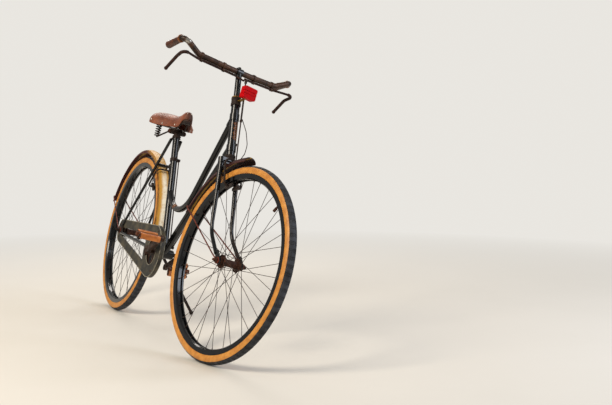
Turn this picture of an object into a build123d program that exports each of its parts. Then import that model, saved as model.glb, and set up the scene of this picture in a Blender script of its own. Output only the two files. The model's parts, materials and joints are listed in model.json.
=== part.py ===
from build123d import *
import math
import os

# An old loop-frame roadster bicycle with rod brakes, leaning on its side stand.
# Everything is drawn upright first: X forward, Y to the left, Z up, the point
# under the rear axle at the origin, the steering straight ahead. Then the
# steered pieces turn, and the whole bicycle leans over and pitches level.

# Wheels
wheel_radius = 355.0        # over the tyre
tyre_round = 20.0           # radius of the tyre's round section
rim_half = 17.0
rim_lip_deep = 31.0         # the rim's lips below the tread
rim_bed_deep = 15.0         # the rim's bed below its lips
rim_wall = 2.5
rim_gap = 0.3
hub_flange_spread = 66.0
hub_flange_radius = 25.0
hub_flange_wall = 3.0
hub_barrel_radius = 13.0
spoke_count = 36
spoke_radius = 1.0
spoke_crossing = 3          # spoke pairs that each spoke passes
axle_radius = 4.75
nut_flats = 15.0
nut_height = 8.0

# Layout
wheelbase = 1170.0
head_angle = 71.5
fork_offset = 63.0
bracket_forward = 494.0     # crank axle ahead of the rear axle
bracket_height = 313.0
seat_angle = 69.0
seat_tube_length = 525.0

# Stance
lean_angle = 14.3
steer_angle = 11.5
crank_angle = 21.7          # right crank above level

# Frame tubes, by radius
head_radius = 16.0
steerer_radius = 12.7
head_bore = 14.2
main_radius = 14.3
loop_radius = 12.7
stay_radius = 8.5
seat_stay_radius = 6.5
bridge_radius = 6.5
shell_radius = 20.0
shell_half = 34.0
lug_wall = 2.2
lug_length = 26.0

# Places along the steering axis, up from the foot of the front axle on it
crown_height = 22.0
head_low = 421.0
head_high = 622.0
down_tube_at = 450.0
loop_tube_at = 575.0
loop_seat_at = 278.0        # along the seat tube, up from the crank axle
loop_corner_forward = 55.0  # the corner that the loop's bend rounds off
loop_corner_up = 78.0
loop_bend_radius = 190.0

# Rear triangle
drop_half = 57.5            # middle of each rear fork end
drop_wall = 5.0
stay_spread = 24.0          # chain stays at the crank shell
seat_stay_spread = 22.0
stay_drop = 9.0             # chain stays end this far below the axle
seat_stay_rise = 22.0
seat_stay_foot = 12.0       # both stays end this far ahead of the axle
chain_stay_foot = 21.0
seat_stay_below = 15.0      # seat stays meet the seat tube this far below its top

# Front fork
blade_radius = 10.5
blade_tip_radius = 7.0
blade_bend_radius = 130.0
blade_spread = 37.0
front_half = 50.0
blade_bend_at = 124.0
blade_bend_ahead = -8.0
front_axle_half = 71.0
rear_axle_half = 79.0

# Mudguards
guard_clear = 31.0          # the crown over the tread
guard_half = 25.0
guard_wall = 2.0
guard_depth = 19.0
rear_guard_from = -4.0
rear_guard_to = 161.0
front_guard_from = 98.5
front_guard_to = 158.0
guard_stay_radius = 2.5
stay_eye_wall = 2.4

# Cranks, chain and case
crank_length = 170.0
crank_inner = 68.0
crank_wall = 13.0
crank_half_width = 9.0
crank_axle_radius = 8.5
ring_teeth = 46
cog_teeth = 18
chain_pitch = 12.7
chain_line = 45.0
chain_height = 8.0
chain_width = 7.0
ring_wall = 3.0
case_out = 54.0
case_in = 38.0
case_wall = 1.5
case_margin = 11.0
case_arm = 44.0
case_eye = 56.0
pedal_middle = 130.0
pedal_half_width = 42.0
pedal_block_length = 78.0
pedal_block_height = 22.0
pedal_block_depth = 21.0
pedal_block_spread = 23.0
right_pedal_turn = -12.0    # its front block a little low
left_pedal_turn = 105.0     # its blocks one above the other
spindle_radius = 6.0
fit_gap = 0.05

# Handlebar, along the steering axis and ahead of it
bar_radius = 11.1
bar_at = 762.0
bar_ahead = 0.0
bar_middle_half = 50.0
bar_shoulder_at = 774.0
bar_shoulder_half = 178.0
bar_shoulder_ahead = -14.0
bar_turn_at = 811.0
bar_turn_half = 254.0
bar_turn_ahead = 2.0
grip_end_at = 824.0
grip_end_ahead = -120.0
grip_half = 247.0
grip_length = 92.0
grip_radius = 14.5
grip_neck = 12.8            # the grip's radius where it starts
clamp_half = 13.0
clamp_wall = 3.5

# Saddle
saddle_length = 273.0
saddle_width = 205.0
saddle_rise = 82.0          # its top over the pillar's top
saddle_set_back = 18.5      # its middle behind the pillar's top
saddle_wall = 5.0
saddle_skirt = 62.0
nose_skirt = 42.0           # the skirt is shorter at the nose

# Brakes, pulled by thin rods
brake_rod_radius = 2.5
stirrup_radius = 3.5
stirrup_half = 37.0
stirrup_clear = 13.0        # the bow over the guard's crown
rocker_below = 108.0        # the rear brake's rocker below the seat tube's top
front_brake_angle = 114.0
rear_brake_angle = 49.0
pad_out = 19.0
pad_in = 11.5
pad_deep = 11.0
pad_length = 40.0
pad_gap = 5.0
lever_radius = 4.5
lever_below = 18.0          # the lever's rod below the bar
side_rod_left = 19.0
front_rod_left = 10.0
rod_head_at = 722.0         # where both levers lift the front rod
rod_head_ahead = 36.0

# Lamp
lamp_width = 56.0
lamp_height = 46.0
lamp_deep = 26.0
lamp_ahead = 63.0
lamp_at = 657.0
lamp_left = 9.0
lamp_tip = 13.5             # its top leans ahead
lamp_roll = 3.0             # and a little to the left
lamp_strap_width = 12.0

# Side stand
stand_forward = 235.0
stand_beside = 20.5         # its pivot beside the chain stay
stand_below = 15.3          # and below it
stand_foot_forward = 282.0
stand_foot_out = 262.0
stand_leg_radius = 6.5
stand_foot_radius = 9.0


def along(start, end, share):
    return start + (end - start) * share


def axis_point(at, ahead=0.0, left=0.0):
    # A point by its height along the steering axis and its distance ahead of it
    return steer_foot + steer_up * at + steer_ahead * ahead + Vector(0, left, 0)


def seat_point(at, ahead=0.0, left=0.0):
    return crank_centre + seat_up * at + seat_ahead * ahead + Vector(0, left, 0)


def rod(start, end, radius):
    run = end - start
    return Solid.make_cylinder(radius, run.length, Plane(origin=start, z_dir=run))


def cone(start, end, radius, tip):
    run = end - start
    return Solid.make_cone(radius, tip, run.length, Plane(origin=start, z_dir=run))


def bent_rod(points, bends, radius):
    # Bends that their straight runs leave no room for are drawn tighter
    if not isinstance(bends, list):
        bends = [bends] * (len(points) - 2)
    runs = [far - near for near, far in zip(points, points[1:])]
    reaches = [0.0]
    for bend, near, far in zip(bends, runs, runs[1:]):
        reaches.append(bend * math.tan(math.radians(near.get_angle(far)) / 2))
    reaches.append(0.0)
    ease = []
    for run, near, far in zip(runs, reaches, reaches[1:]):
        ease.append(min(1.0, 0.998 * run.length / (near + far + 0.001)))
    fitted = [bend * min(pair) for bend, pair in zip(bends, zip(ease, ease[1:]))]
    path = FilletPolyline(*points, radius=fitted)
    section = Plane(origin=path @ 0, z_dir=path % 0) * Circle(radius)
    return sweep(section, path=path).solid()


def across(centre, low, high, radius):
    # A round bar along Y through a point, from one Y to another
    start = Vector(centre.X, low, centre.Z)
    return Solid.make_cylinder(radius, high - low, Plane(origin=start, z_dir=(0, 1, 0)))


def across_hex(centre, low, high, flats):
    start = Vector(centre.X, low, centre.Z)
    face = Plane(origin=start, z_dir=(0, 1, 0)) * RegularPolygon(flats / math.sqrt(3), 6)
    return extrude(face, high - low).solid()


def polar(centre, radius, angle, left=0.0):
    turn = math.radians(angle)
    return Vector(centre.X + radius * math.cos(turn), left,
                  centre.Z + radius * math.sin(turn))


def cut(piece, *others):
    for other in others:
        piece = piece - other
    return piece


def plate_left(face, wall):
    # A plate drawn on its right face and grown to the left by its wall
    return extrude(face, wall, dir=(0, 1, 0))


def turned_ring(outline, centre):
    # Revolves a closed outline of (radius, left) pairs about an axle
    plane = Plane(origin=centre, x_dir=(1, 0, 0), z_dir=(0, 0, 1))
    face = make_face(plane * Polyline(*outline, close=True))
    return revolve(face, Axis(centre, (0, 1, 0))).solid()


steer_turn = math.radians(head_angle)
steer_up = Vector(-math.cos(steer_turn), 0, math.sin(steer_turn))
steer_ahead = Vector(math.sin(steer_turn), 0, math.cos(steer_turn))
rear_centre = Vector(0, 0, wheel_radius)
front_centre = Vector(wheelbase, 0, wheel_radius)
steer_foot = front_centre - steer_ahead * fork_offset
crank_centre = Vector(bracket_forward, 0, bracket_height)
seat_turn = math.radians(seat_angle)
seat_up = Vector(-math.cos(seat_turn), 0, math.sin(seat_turn))
seat_ahead = Vector(math.sin(seat_turn), 0, math.cos(seat_turn))
tyre_ring = wheel_radius - tyre_round
rim_lip_radius = wheel_radius - rim_lip_deep
rim_bed_radius = rim_lip_radius - rim_bed_deep
guard_radius = wheel_radius + guard_clear
stirrup_reach = guard_radius + stirrup_clear
seat_stay_at = seat_tube_length - seat_stay_below
hub_end = chain_line - ring_wall / 2 - 0.3
ring_radius = ring_teeth * chain_pitch / (2 * math.pi)
cog_radius = cog_teeth * chain_pitch / (2 * math.pi)

crown_half = blade_radius + 2.0
crown_at = math.sqrt(guard_radius ** 2 - (fork_offset - crown_half) ** 2) + 0.3
nodes = {}


def add(name, body, *solids):
    nodes[name] = (body, list(solids))


# Stance: the steered pieces' turn, then the lean, then a small pitch
def about(point, turn):
    return Pos(point) * turn * Pos(-point)


tilt_back = 90.0 - head_angle
steered = about(steer_foot, Rot(0, -tilt_back, 0) * Rot(0, 0, steer_angle) * Rot(0, tilt_back, 0))
leaned = about(Vector(0, 0, tyre_round), Rot(-lean_angle, 0, 0))


def lowest_of_tyre(place, centre):
    # The height of a tyre's lowest point, from its centre and its axle's slope
    middle = (place * Pos(centre)).position
    side = (place * Pos(centre + Vector(0, 1, 0))).position
    slope = (side - middle).Z
    return middle.Z - tyre_ring * math.sqrt(1 - slope ** 2) - tyre_round


pitch = 0.0
rear_high = (leaned * Pos(rear_centre)).position
for step in range(4):
    stance = about(rear_high, Rot(0, pitch, 0)) * leaned
    sunk = lowest_of_tyre(stance * steered, front_centre)
    pitch += math.degrees(sunk / wheelbase)
stance = about(rear_high, Rot(0, pitch, 0)) * leaned


# Wheels
def wheel(name, body, centre):
    # The tyre sits on the rim's lips with its beads between them
    with_round = Plane(origin=centre, x_dir=(1, 0, 0), z_dir=(0, 0, 1))
    section = with_round * Pos(tyre_ring, 0) * Circle(tyre_round)
    tyre = revolve(section, Axis(centre, (0, 1, 0))).solid()
    lip = rim_lip_radius
    bed = rim_bed_radius
    half = rim_half
    wall = rim_wall
    keep_out = turned_ring([(lip + rim_gap, -half - 8), (lip + rim_gap, half + 8),
                            (bed, half + 8), (bed, -half - 8)], centre)
    tyre = (tyre - keep_out).solid()
    # A broad rim with rolled edges and flat shoulders for the brake blocks
    rim = turned_ring([
        (lip, -half), (lip, -half + wall), (bed + wall, -half + wall + 3),
        (bed + wall, half - wall - 3), (lip, half - wall), (lip, half),
        (bed - 2, half), (bed - 6, half - 5), (bed - 6, half - 9), (bed, half - 11),
        (bed, -half + 11), (bed - 6, -half + 9), (bed - 6, -half + 5), (bed - 2, -half)], centre)
    # Hub: a barrel between two flanges
    spread = hub_flange_spread / 2
    flange = hub_flange_wall / 2
    bore = axle_radius + 2.0
    hub = turned_ring([
        (bore, -hub_end), (hub_barrel_radius + 2, -hub_end),
        (hub_barrel_radius + 2, -spread - flange), (hub_flange_radius, -spread - flange),
        (hub_flange_radius, -spread + flange), (hub_barrel_radius + 3, -spread + flange),
        (hub_barrel_radius, -spread + flange + 5),
        (hub_barrel_radius, spread - flange - 5), (hub_barrel_radius + 3, spread - flange),
        (hub_flange_radius, spread - flange),
        (hub_flange_radius, spread + flange), (hub_barrel_radius + 2, spread + flange),
        (hub_barrel_radius + 2, hub_end), (bore, hub_end)], centre)
    # Spokes leave the flanges at a tangent and cross on their way to the rim
    spokes = []
    step = 360.0 / spoke_count
    head_ring = hub_flange_radius - 4
    for index in range(spoke_count):
        side = 1 if index % 2 else -1
        lead = 1 if (index // 2) % 2 else -1
        rim_turn = index * step
        hub_turn = rim_turn + lead * step * 2 * spoke_crossing
        head = polar(centre, head_ring, hub_turn, side * spread)
        off_flange = 1.6 if lead > 0 else 0.2
        out = side * lead * (flange + spoke_radius + off_flange)
        start = head + Vector(0, out, 0)
        end = polar(centre, bed - rim_gap, rim_turn, side * 3.0)
        spokes.append(rod(start, end, spoke_radius))
    add(name + "_tyre", body, tyre)
    add(name + "_rim", body, rim)
    add(name + "_hub", body, hub)
    add(name + "_spokes", body, *spokes)


wheel("front", "front_wheel", front_centre)
wheel("rear", "rear_wheel", rear_centre)


def axle(name, body, centre, half, fork_face):
    # A threaded axle with its cones inside the fork ends and nuts outside them
    reach = hub_end
    pieces = across(centre, -half, half, axle_radius)
    for side in (-1, 1):
        low, high = sorted((side * (reach + 0.4), side * (fork_face - drop_wall)))
        pieces = pieces + across(centre, low, high, axle_radius + 4)
        nut_face = fork_face + stay_eye_wall
        low, high = sorted((side * nut_face, side * (nut_face + nut_height)))
        pieces = pieces + across_hex(centre, low, high, nut_flats)
    add(name, body, pieces.solid())
    return pieces


rear_face = drop_half + drop_wall / 2
front_face = front_half + drop_wall / 2
rear_axle = axle("rear_axle", "root", rear_centre, rear_axle_half, rear_face)
front_axle = axle("front_axle", "fork", front_centre, front_axle_half, front_face)

# Main tubes, each cut to its neighbours
head_outer = rod(axis_point(head_low), axis_point(head_high), head_radius)
head_hole = rod(axis_point(head_low - 1), axis_point(head_high + 1), head_bore)
shell_outer = across(crank_centre, -shell_half, shell_half, shell_radius)
seat_outer = rod(crank_centre, seat_point(seat_tube_length), main_radius)
down_outer = rod(crank_centre, axis_point(down_tube_at), main_radius)
loop_corner = crank_centre + Vector(loop_corner_forward, 0, loop_corner_up)
loop_outer = bent_rod([axis_point(loop_tube_at), loop_corner, seat_point(loop_seat_at)],
                      loop_bend_radius, loop_radius)
pillar_radius = main_radius - 1.8
pillar_depth = 70.0
pillar_hole = rod(seat_point(seat_tube_length - pillar_depth),
                  seat_point(seat_tube_length + 1), pillar_radius + fit_gap)
seat_tube = cut(seat_outer, shell_outer, pillar_hole)
down_tube = cut(down_outer, shell_outer, head_outer, seat_outer)
loop_tube = cut(loop_outer, head_outer, seat_outer)
add("head_tube", "root", head_outer - head_hole)
add("seat_tube", "root", seat_tube)
add("down_tube", "root", down_tube)
add("loop_tube", "root", loop_tube)

# Lugs that sleeve the head tube where the two tubes meet it
def head_lug(at, far_point, tube_radius, tube):
    sleeve = rod(axis_point(at - lug_length / 2), axis_point(at + lug_length / 2),
                 head_radius + lug_wall)
    run = (far_point - axis_point(at)).normalized()
    socket = rod(axis_point(at), axis_point(at) + run * (head_radius + lug_length),
                 tube_radius + lug_wall)
    return cut(sleeve + socket, head_outer, tube).solid()


loop_run = axis_point(loop_tube_at) + (loop_corner - axis_point(loop_tube_at)) * 0.2
add("head_lugs", "root",
    head_lug(down_tube_at, crank_centre, main_radius, down_outer),
    head_lug(loop_tube_at, loop_run, loop_radius, loop_outer))

# Crank shell with its bore, and the cups that the axle runs in
shell_bore = across(crank_centre, -shell_half - 1, shell_half + 1, shell_radius - 3)
add("crank_shell", "root", shell_outer - shell_bore)
crank_cups = []
for side in (-1, 1):
    low, high = sorted((side * (shell_half - 8), side * (shell_half + 4)))
    cup = across(crank_centre, low, high, shell_radius - 3)
    cup = cup - across(crank_centre, low - 1, high + 1, crank_axle_radius + 0.3)
    crank_cups.append(cup.solid())

# Rear triangle
stay_foot = rear_centre - Vector(0, 0, stay_drop)
stay_ends = {}
chain_stays = []
seat_stays = []
dropouts = []
for side in (-1, 1):
    start = crank_centre + Vector(0, side * stay_spread, 0)
    end = stay_foot + Vector(chain_stay_foot, side * drop_half, 0)
    stay_ends[side] = (start, end)
    stay = cone(start, end, stay_radius, stay_radius - 2)
    top = seat_point(seat_stay_at, 0, side * seat_stay_spread)
    foot = rear_centre + Vector(seat_stay_foot, side * drop_half, seat_stay_rise)
    seat_stay = cone(top, foot, seat_stay_radius, seat_stay_radius - 1)
    # Fork end: a flat plate with its slot open to the rear
    plate = Plane(origin=rear_centre + Vector(0, side * drop_half - drop_wall / 2, 0),
                  x_dir=(1, 0, 0), z_dir=(0, -1, 0))
    outline = plate * Polyline((8, -14), (30, -15), (36, -4), (26, 14), (20, 30), (8, 30),
                               (-4, 14), (-22, 8), (-24, -7), (-8, -12), close=True)
    eye = plate * (Pos(-14, 0) * Rectangle(28, 2 * axle_radius + 0.4)
                   + Circle(axle_radius + 0.2))
    plate_solid = plate_left(make_face(outline), drop_wall) - plate_left(eye, drop_wall)
    dropouts.append(plate_solid.solid())
    chain_stays.append(cut(stay, shell_outer, plate_solid).solid())
    seat_stays.append(cut(seat_stay, seat_outer, plate_solid).solid())
add("chain_stays", "root", *chain_stays)
add("seat_stays", "root", *seat_stays)
add("rear_fork_ends", "root", *dropouts)


def meet_guard(start, end, clear):
    # The place on a straight stay at a given distance from the rear axle
    low, high = 0.0, 1.0
    for step in range(40):
        share = (low + high) / 2
        point = along(start, end, share)
        far = math.hypot(point.X - rear_centre.X, point.Z - rear_centre.Z)
        if far > clear:
            low = share
        else:
            high = share
    return along(start, end, (low + high) / 2)


bridge_clear = guard_radius + bridge_radius + 0.3
bridges = []
for start, end, solids in (
        (stay_ends[1][0], stay_ends[1][1], chain_stays),
        (seat_point(seat_stay_at, 0, seat_stay_spread),
         rear_centre + Vector(seat_stay_foot, drop_half, seat_stay_rise), seat_stays)):
    middle = meet_guard(start, end, bridge_clear)
    bridge = across(middle, -middle.Y, middle.Y, bridge_radius)
    bridges.append(cut(bridge, *solids).solid())
add("stay_bridges", "root", *bridges)


# Mudguards: a thin crowned channel turned part of the way round the wheel
def guard(centre, start, end):
    crown = 5.0
    wall = guard_wall
    half = guard_half
    inner = guard_radius - wall
    plane = Plane(origin=centre, x_dir=(1, 0, 0), z_dir=(0, 0, 1))
    low = guard_radius - guard_depth
    shoulder = guard_radius - crown
    outside = Line((low, -half), (shoulder, -half + 4)) + ThreePointArc(
        (shoulder, -half + 4), (guard_radius, 0), (shoulder, half - 4)) + Line(
        (shoulder, half - 4), (low, half))
    inside = Line((low, half - wall), (shoulder - wall, half - 4 - wall)) + ThreePointArc(
        (shoulder - wall, half - 4 - wall), (inner, 0), (shoulder - wall, -half + 4 + wall)
        ) + Line((shoulder - wall, -half + 4 + wall), (low, -half + wall))
    ends = Line((low, half), (low, half - wall)) + Line((low, -half + wall), (low, -half))
    face = make_face(plane * (outside + inside + ends))
    full = revolve(face, Axis(centre, (0, -1, 0)), end - start).solid()
    return full.rotate(Axis(centre, (0, -1, 0)), start)


rear_guard = guard(rear_centre, rear_guard_from, rear_guard_to)
front_guard = guard(front_centre, front_guard_from, front_guard_to)
add("rear_mudguard", "root", rear_guard)
add("front_mudguard", "fork", front_guard)


def guard_stay(centre, angle, fork_face):
    # A wire hoop from one axle end round the outside of the guard to the other
    reach = guard_radius + guard_stay_radius + 0.3
    start = fork_face + guard_stay_radius + 0.3
    beside = guard_half + guard_stay_radius + 0.3
    left = [polar(centre, 9.2, angle, start),
            polar(centre, 38.0, angle, start),
            polar(centre, reach - guard_depth, angle, beside),
            polar(centre, reach, angle, guard_half - 1)]
    right = [Vector(spot.X, -spot.Y, spot.Z) for spot in reversed(left)]
    hoop = bent_rod(left + right, [60, 14, 5, 5, 14, 60], guard_stay_radius)
    for side in (-1, 1):
        low, high = sorted((side * fork_face, side * (fork_face + stay_eye_wall)))
        eye = across(centre, low, high, 12.5)
        hoop = hoop + (eye - across(centre, low - 1, high + 1, axle_radius + 0.2))
    return hoop.solid()


add("rear_guard_stay", "root", guard_stay(rear_centre, 158.0, rear_face))
add("front_guard_stay", "fork", guard_stay(front_centre, 155.0, front_face))


# Chain and its case
def belt(front, rear, left, depth):
    # The outline of a belt round two wheels, as a slab from one Y inwards
    plane = Plane(origin=Vector(0, left, 0), x_dir=(1, 0, 0), z_dir=(0, -1, 0))
    big = (crank_centre.X, crank_centre.Z)
    small = (rear_centre.X, rear_centre.Z)
    run = math.atan2(small[1] - big[1], small[0] - big[0])
    gap = math.hypot(small[0] - big[0], small[1] - big[1])
    lean = math.acos((front - rear) / gap)
    sides = []
    for sign in (1, -1):
        turn = run + sign * lean
        sides.append(((big[0] + front * math.cos(turn), big[1] + front * math.sin(turn)),
                      (small[0] + rear * math.cos(turn), small[1] + rear * math.sin(turn))))
    slab = Polyline(sides[0][0], sides[0][1], sides[1][1], sides[1][0], close=True)
    face = (plane * make_face(slab)
            + plane * Pos(big[0], big[1]) * Circle(front)
            + plane * Pos(small[0], small[1]) * Circle(rear))
    return plate_left(face, depth).solid()


chain_low = -chain_line - chain_width / 2
chain = (belt(ring_radius + chain_height / 2, cog_radius + chain_height / 2, chain_low, chain_width)
         - belt(ring_radius - chain_height / 2, cog_radius - chain_height / 2,
                chain_low - 1, chain_width + 2))
add("chain", "root", chain)

case_front = ring_radius + chain_height / 2 + case_margin
case_rear = cog_radius + chain_height / 2 + case_margin
case_depth = case_out - case_in
case_full = belt(case_front, case_rear, -case_out, case_depth)
case_room = belt(case_front - case_wall, case_rear - case_wall,
                 -case_out + case_wall, case_depth)
inner_front = case_front - case_arm
window = belt(inner_front, case_rear - case_arm + 8, -case_out - 1, case_depth + 2)
front_disc = across(crank_centre, -case_out, -case_in, case_front)
front_eye = across(crank_centre, -case_out - 1, -case_in + 1, case_eye)
rear_eye = across(rear_centre, -case_out - 1, -case_in + 1, 17.0)
case_shell = (case_full - case_room)
window = window - front_disc
case_shell = case_shell - window - front_eye - rear_eye
start, end = stay_ends[-1]
case_shell = case_shell - cone(start, end, stay_radius + 1, stay_radius - 1)
top = seat_point(seat_stay_at, 0, -seat_stay_spread)
foot = rear_centre + Vector(seat_stay_foot, -drop_half, seat_stay_rise)
case_shell = case_shell - rod(top, foot, seat_stay_radius + 1)
add("chain_case", "root", case_shell)


def toothed(centre, teeth, radius, left, wall):
    # A toothed disc: the teeth are blunt wedges between the chain's rollers
    points = []
    for index in range(teeth):
        turn = index * 360.0 / teeth
        step = 360.0 / teeth
        root = radius - chain_height / 2 - 3.5
        tip = radius - chain_height / 2 - 0.5
        for share, reach in ((-0.3, root), (-0.12, tip), (0.12, tip), (0.3, root)):
            place = polar(centre, reach, turn + share * step)
            points.append((place.X, place.Z))
    plane = Plane(origin=Vector(0, left, 0), x_dir=(1, 0, 0), z_dir=(0, -1, 0))
    return plate_left(make_face(plane * Polyline(*points, close=True)), wall).solid()


ring = toothed(crank_centre, ring_teeth, ring_radius, -chain_line - ring_wall / 2, ring_wall)
hole_ring = ring_radius * 0.45
hole_radius = ring_radius * 0.19
for index in range(5):
    middle = polar(crank_centre, hole_ring, index * 72.0 + crank_angle)
    ring = ring - across(middle, -case_out, -case_in, hole_radius)
ring = ring - across(crank_centre, -case_out, -case_in, crank_axle_radius)
add("chainring", "crank", ring)
cog = toothed(rear_centre, cog_teeth, cog_radius, -chain_line - ring_wall / 2, ring_wall)
cog_boss = across(rear_centre, -chain_line - 4, -hub_end, 17.0)
cog = (cog + cog_boss) - across(rear_centre, -chain_line - 6, 0, axle_radius + 6)
add("rear_sprocket", "rear_wheel", cog)

# Cranks: an axle, two tapered arms and their spindles
crank_reach = crank_inner + crank_wall
crank_axle = across(crank_centre, -crank_reach - 2, crank_reach + 2, crank_axle_radius)
crank_arms = []
spindles = []
for name, side, turn, pedal_turn in (("right", -1, crank_angle, right_pedal_turn),
                                     ("left", 1, crank_angle + 180.0, left_pedal_turn)):
    low, high = sorted((side * crank_inner, side * crank_reach))
    tip = polar(crank_centre, crank_length, turn)
    arm = across(crank_centre, low, high, 17.0) + across(tip, low, high, 13.0)
    plane = Plane(origin=Vector(0, low, 0), x_dir=(1, 0, 0), z_dir=(0, -1, 0))
    edge = []
    for radius, wide in ((0.0, 1), (crank_length, 1), (crank_length, -1), (0.0, -1)):
        spot = polar(crank_centre, radius, turn)
        off = crank_half_width if radius else crank_half_width + 4
        shift = polar(Vector(0, 0, 0), wide * off, turn + 90)
        edge.append((spot.X + shift.X, spot.Z + shift.Z))
    arm = arm + plate_left(make_face(plane * Polyline(*edge, close=True)), high - low)
    arm = arm - crank_axle
    spindle_start = side * (crank_inner + 2)
    spindle_end = side * (pedal_middle + pedal_half_width - 4)
    low, high = sorted((spindle_start, spindle_end))
    spindle = across(tip, low, high, spindle_radius)
    arm = cut(arm, spindle)
    crank_arms.append(arm.solid())
    spindles.append(spindle)
    # Pedal: a barrel and two end plates hold two rubber blocks
    body = "pedal_" + name
    low, high = sorted((side * (pedal_middle - pedal_half_width),
                        side * (pedal_middle + pedal_half_width)))
    barrel = across(tip, low, high, spindle_radius + 3.0)
    plates = []
    for face in (low, high - 3.0):
        plane = Plane(origin=Vector(0, face, 0), x_dir=(1, 0, 0), z_dir=(0, -1, 0))
        reach = pedal_block_spread + pedal_block_depth / 2 - 3
        shape = plane * Pos(tip.X, tip.Z) * RectangleRounded(
            2 * reach, pedal_block_height - 6, 5)
        plates.append(plate_left(shape, 3.0))
    frame_piece = barrel + plates[0] + plates[1]
    cap = across(tip, *sorted((side * (pedal_middle + pedal_half_width),
                               side * (pedal_middle + pedal_half_width + 10))), 9.0)
    frame_piece = frame_piece + cap
    frame_piece = frame_piece - across(tip, *sorted((side * (crank_inner + crank_wall),
                                                     spindle_end + side * 0.3)),
                                       spindle_radius + fit_gap)
    blocks = []
    for lead in (-1, 1):
        centre = tip + Vector(lead * pedal_block_spread, side * pedal_middle, 0)
        block = Pos(centre) * Box(pedal_block_depth, pedal_block_length, pedal_block_height)
        block = fillet(block.edges().filter_by(Axis.Y), 4.0)
        for face in (-1, 1):
            groove = Pos(centre + Vector(0, 0, face * pedal_block_height / 2))
            block = block - groove * Box(5, pedal_block_length - 20, 5)
        blocks.append(block.solid())
    tread = about(tip, Rot(0, -pedal_turn, 0))
    add(body + "_frame", body, tread * frame_piece.solid())
    add(body + "_rubbers", body, *[tread * block for block in blocks])

add("crank_arms", "crank", *crank_arms)
add("crank_spindles", "crank", crank_axle, *spindles)

# Fork: a column, a crown and two blades that curve forward to the axle
column = rod(axis_point(crown_at + crown_height), axis_point(head_high + 24), steerer_radius)
crown_plane = Plane(origin=axis_point(crown_at), x_dir=(0, 1, 0), z_dir=steer_up)
crown = extrude(crown_plane * SlotOverall(2 * (blade_spread + crown_half), 2 * crown_half),
                crown_height).solid()
blades = []
for side in (-1, 1):
    top = axis_point(crown_at - 1, 0, side * blade_spread)
    knee = axis_point(blade_bend_at, blade_bend_ahead, side * (front_half - 6))
    foot = axis_point(28, fork_offset - 15, side * front_half)
    turn = math.radians((knee - top).get_angle(foot - knee))
    bend = knee + (top - knee).normalized() * blade_bend_radius * math.tan(turn / 2)
    blade = cone(top, bend, blade_radius, blade_tip_radius) + bent_rod(
        [bend + (top - bend) * 0.001, knee, foot], blade_bend_radius, blade_tip_radius)
    plate = Plane(origin=front_centre + Vector(0, side * front_half - drop_wall / 2, 0),
                  x_dir=(1, 0, 0), z_dir=(0, -1, 0))
    outline = make_face(plate * Polyline(
        (12, -12), (14, 2), (4, 14), (-16, 36), (-31, 28), (-14, 4), (-10, -12), close=True))
    eye = plate * (Pos(0, -14) * Rectangle(2 * axle_radius + 0.4, 28) + Circle(axle_radius + 0.2))
    end = (plate_left(outline, drop_wall) - plate_left(eye, drop_wall)).solid()
    blades.append((blade + end).solid())
crown_solid = cut(crown, *blades)
add("fork_crown", "fork", (crown_solid + column).solid())
add("fork_blades", "fork", *blades)

# Headset: cups fixed in the head, races and a locknut on the column
cup_out = head_radius + 3.0
cups = []
for low, high in ((head_low - 9, head_low), (head_high, head_high + 9)):
    cup = rod(axis_point(low), axis_point(high), cup_out)
    cups.append((cup - rod(axis_point(low - 1), axis_point(high + 1), head_bore)).solid())
add("bearing_cups", "root", *crank_cups, *cups)
races = []
for low, high in ((crown_at + crown_height, head_low - 9.3), (head_high + 9.3, head_high + 24)):
    race = rod(axis_point(low), axis_point(high), cup_out - 1)
    races.append((race - rod(axis_point(low - 1), axis_point(high + 1), steerer_radius)).solid())
add("headset_races", "fork", *races)

# Stem: a quill that rises from the column and holds the bar in a clamp
stem_foot = axis_point(head_high + 24)
stem_head = axis_point(bar_at - 4)
clamp_centre = axis_point(bar_at, bar_ahead)
clamp = Solid.make_cylinder(bar_radius + clamp_wall, 2 * clamp_half,
                            Plane(origin=clamp_centre - Vector(0, clamp_half, 0), z_dir=(0, 1, 0)))
quill = rod(stem_foot, stem_head, 11.5)

half_bar = [
    axis_point(bar_at, bar_ahead),
    axis_point(bar_at, bar_ahead, bar_middle_half),
    axis_point(bar_shoulder_at, bar_shoulder_ahead, bar_shoulder_half),
    axis_point(bar_turn_at, bar_turn_ahead, bar_turn_half),
    axis_point(grip_end_at, grip_end_ahead, grip_half)]
mirror_bar = [Vector(q.X, -q.Y, q.Z) for q in half_bar[1:]]
bar_points = list(reversed(mirror_bar)) + half_bar[1:]
bar = bent_rod(bar_points, [24, 40, 200, 200, 40, 24], bar_radius)
add("handlebar", "fork", bar)
stem = cut(quill + clamp, bar)
add("stem", "fork", *stem.solids())
grips = []
for side in (-1, 1):
    grip_way = (half_bar[4] - half_bar[3]).normalized()
    end = half_bar[4] + grip_way * 4
    start = end - grip_way * grip_length
    start = Vector(start.X, side * start.Y, start.Z)
    end = Vector(end.X, side * end.Y, end.Z)
    grip = cone(start, end, grip_neck, grip_radius)
    rims = grip.edges().filter_by(GeomType.CIRCLE).sort_by_distance(end)
    grip = fillet(rims[0:1], grip_radius * 0.35)
    grips.append(cut(grip, bar).solid())
add("grips", "fork", *grips)

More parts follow.
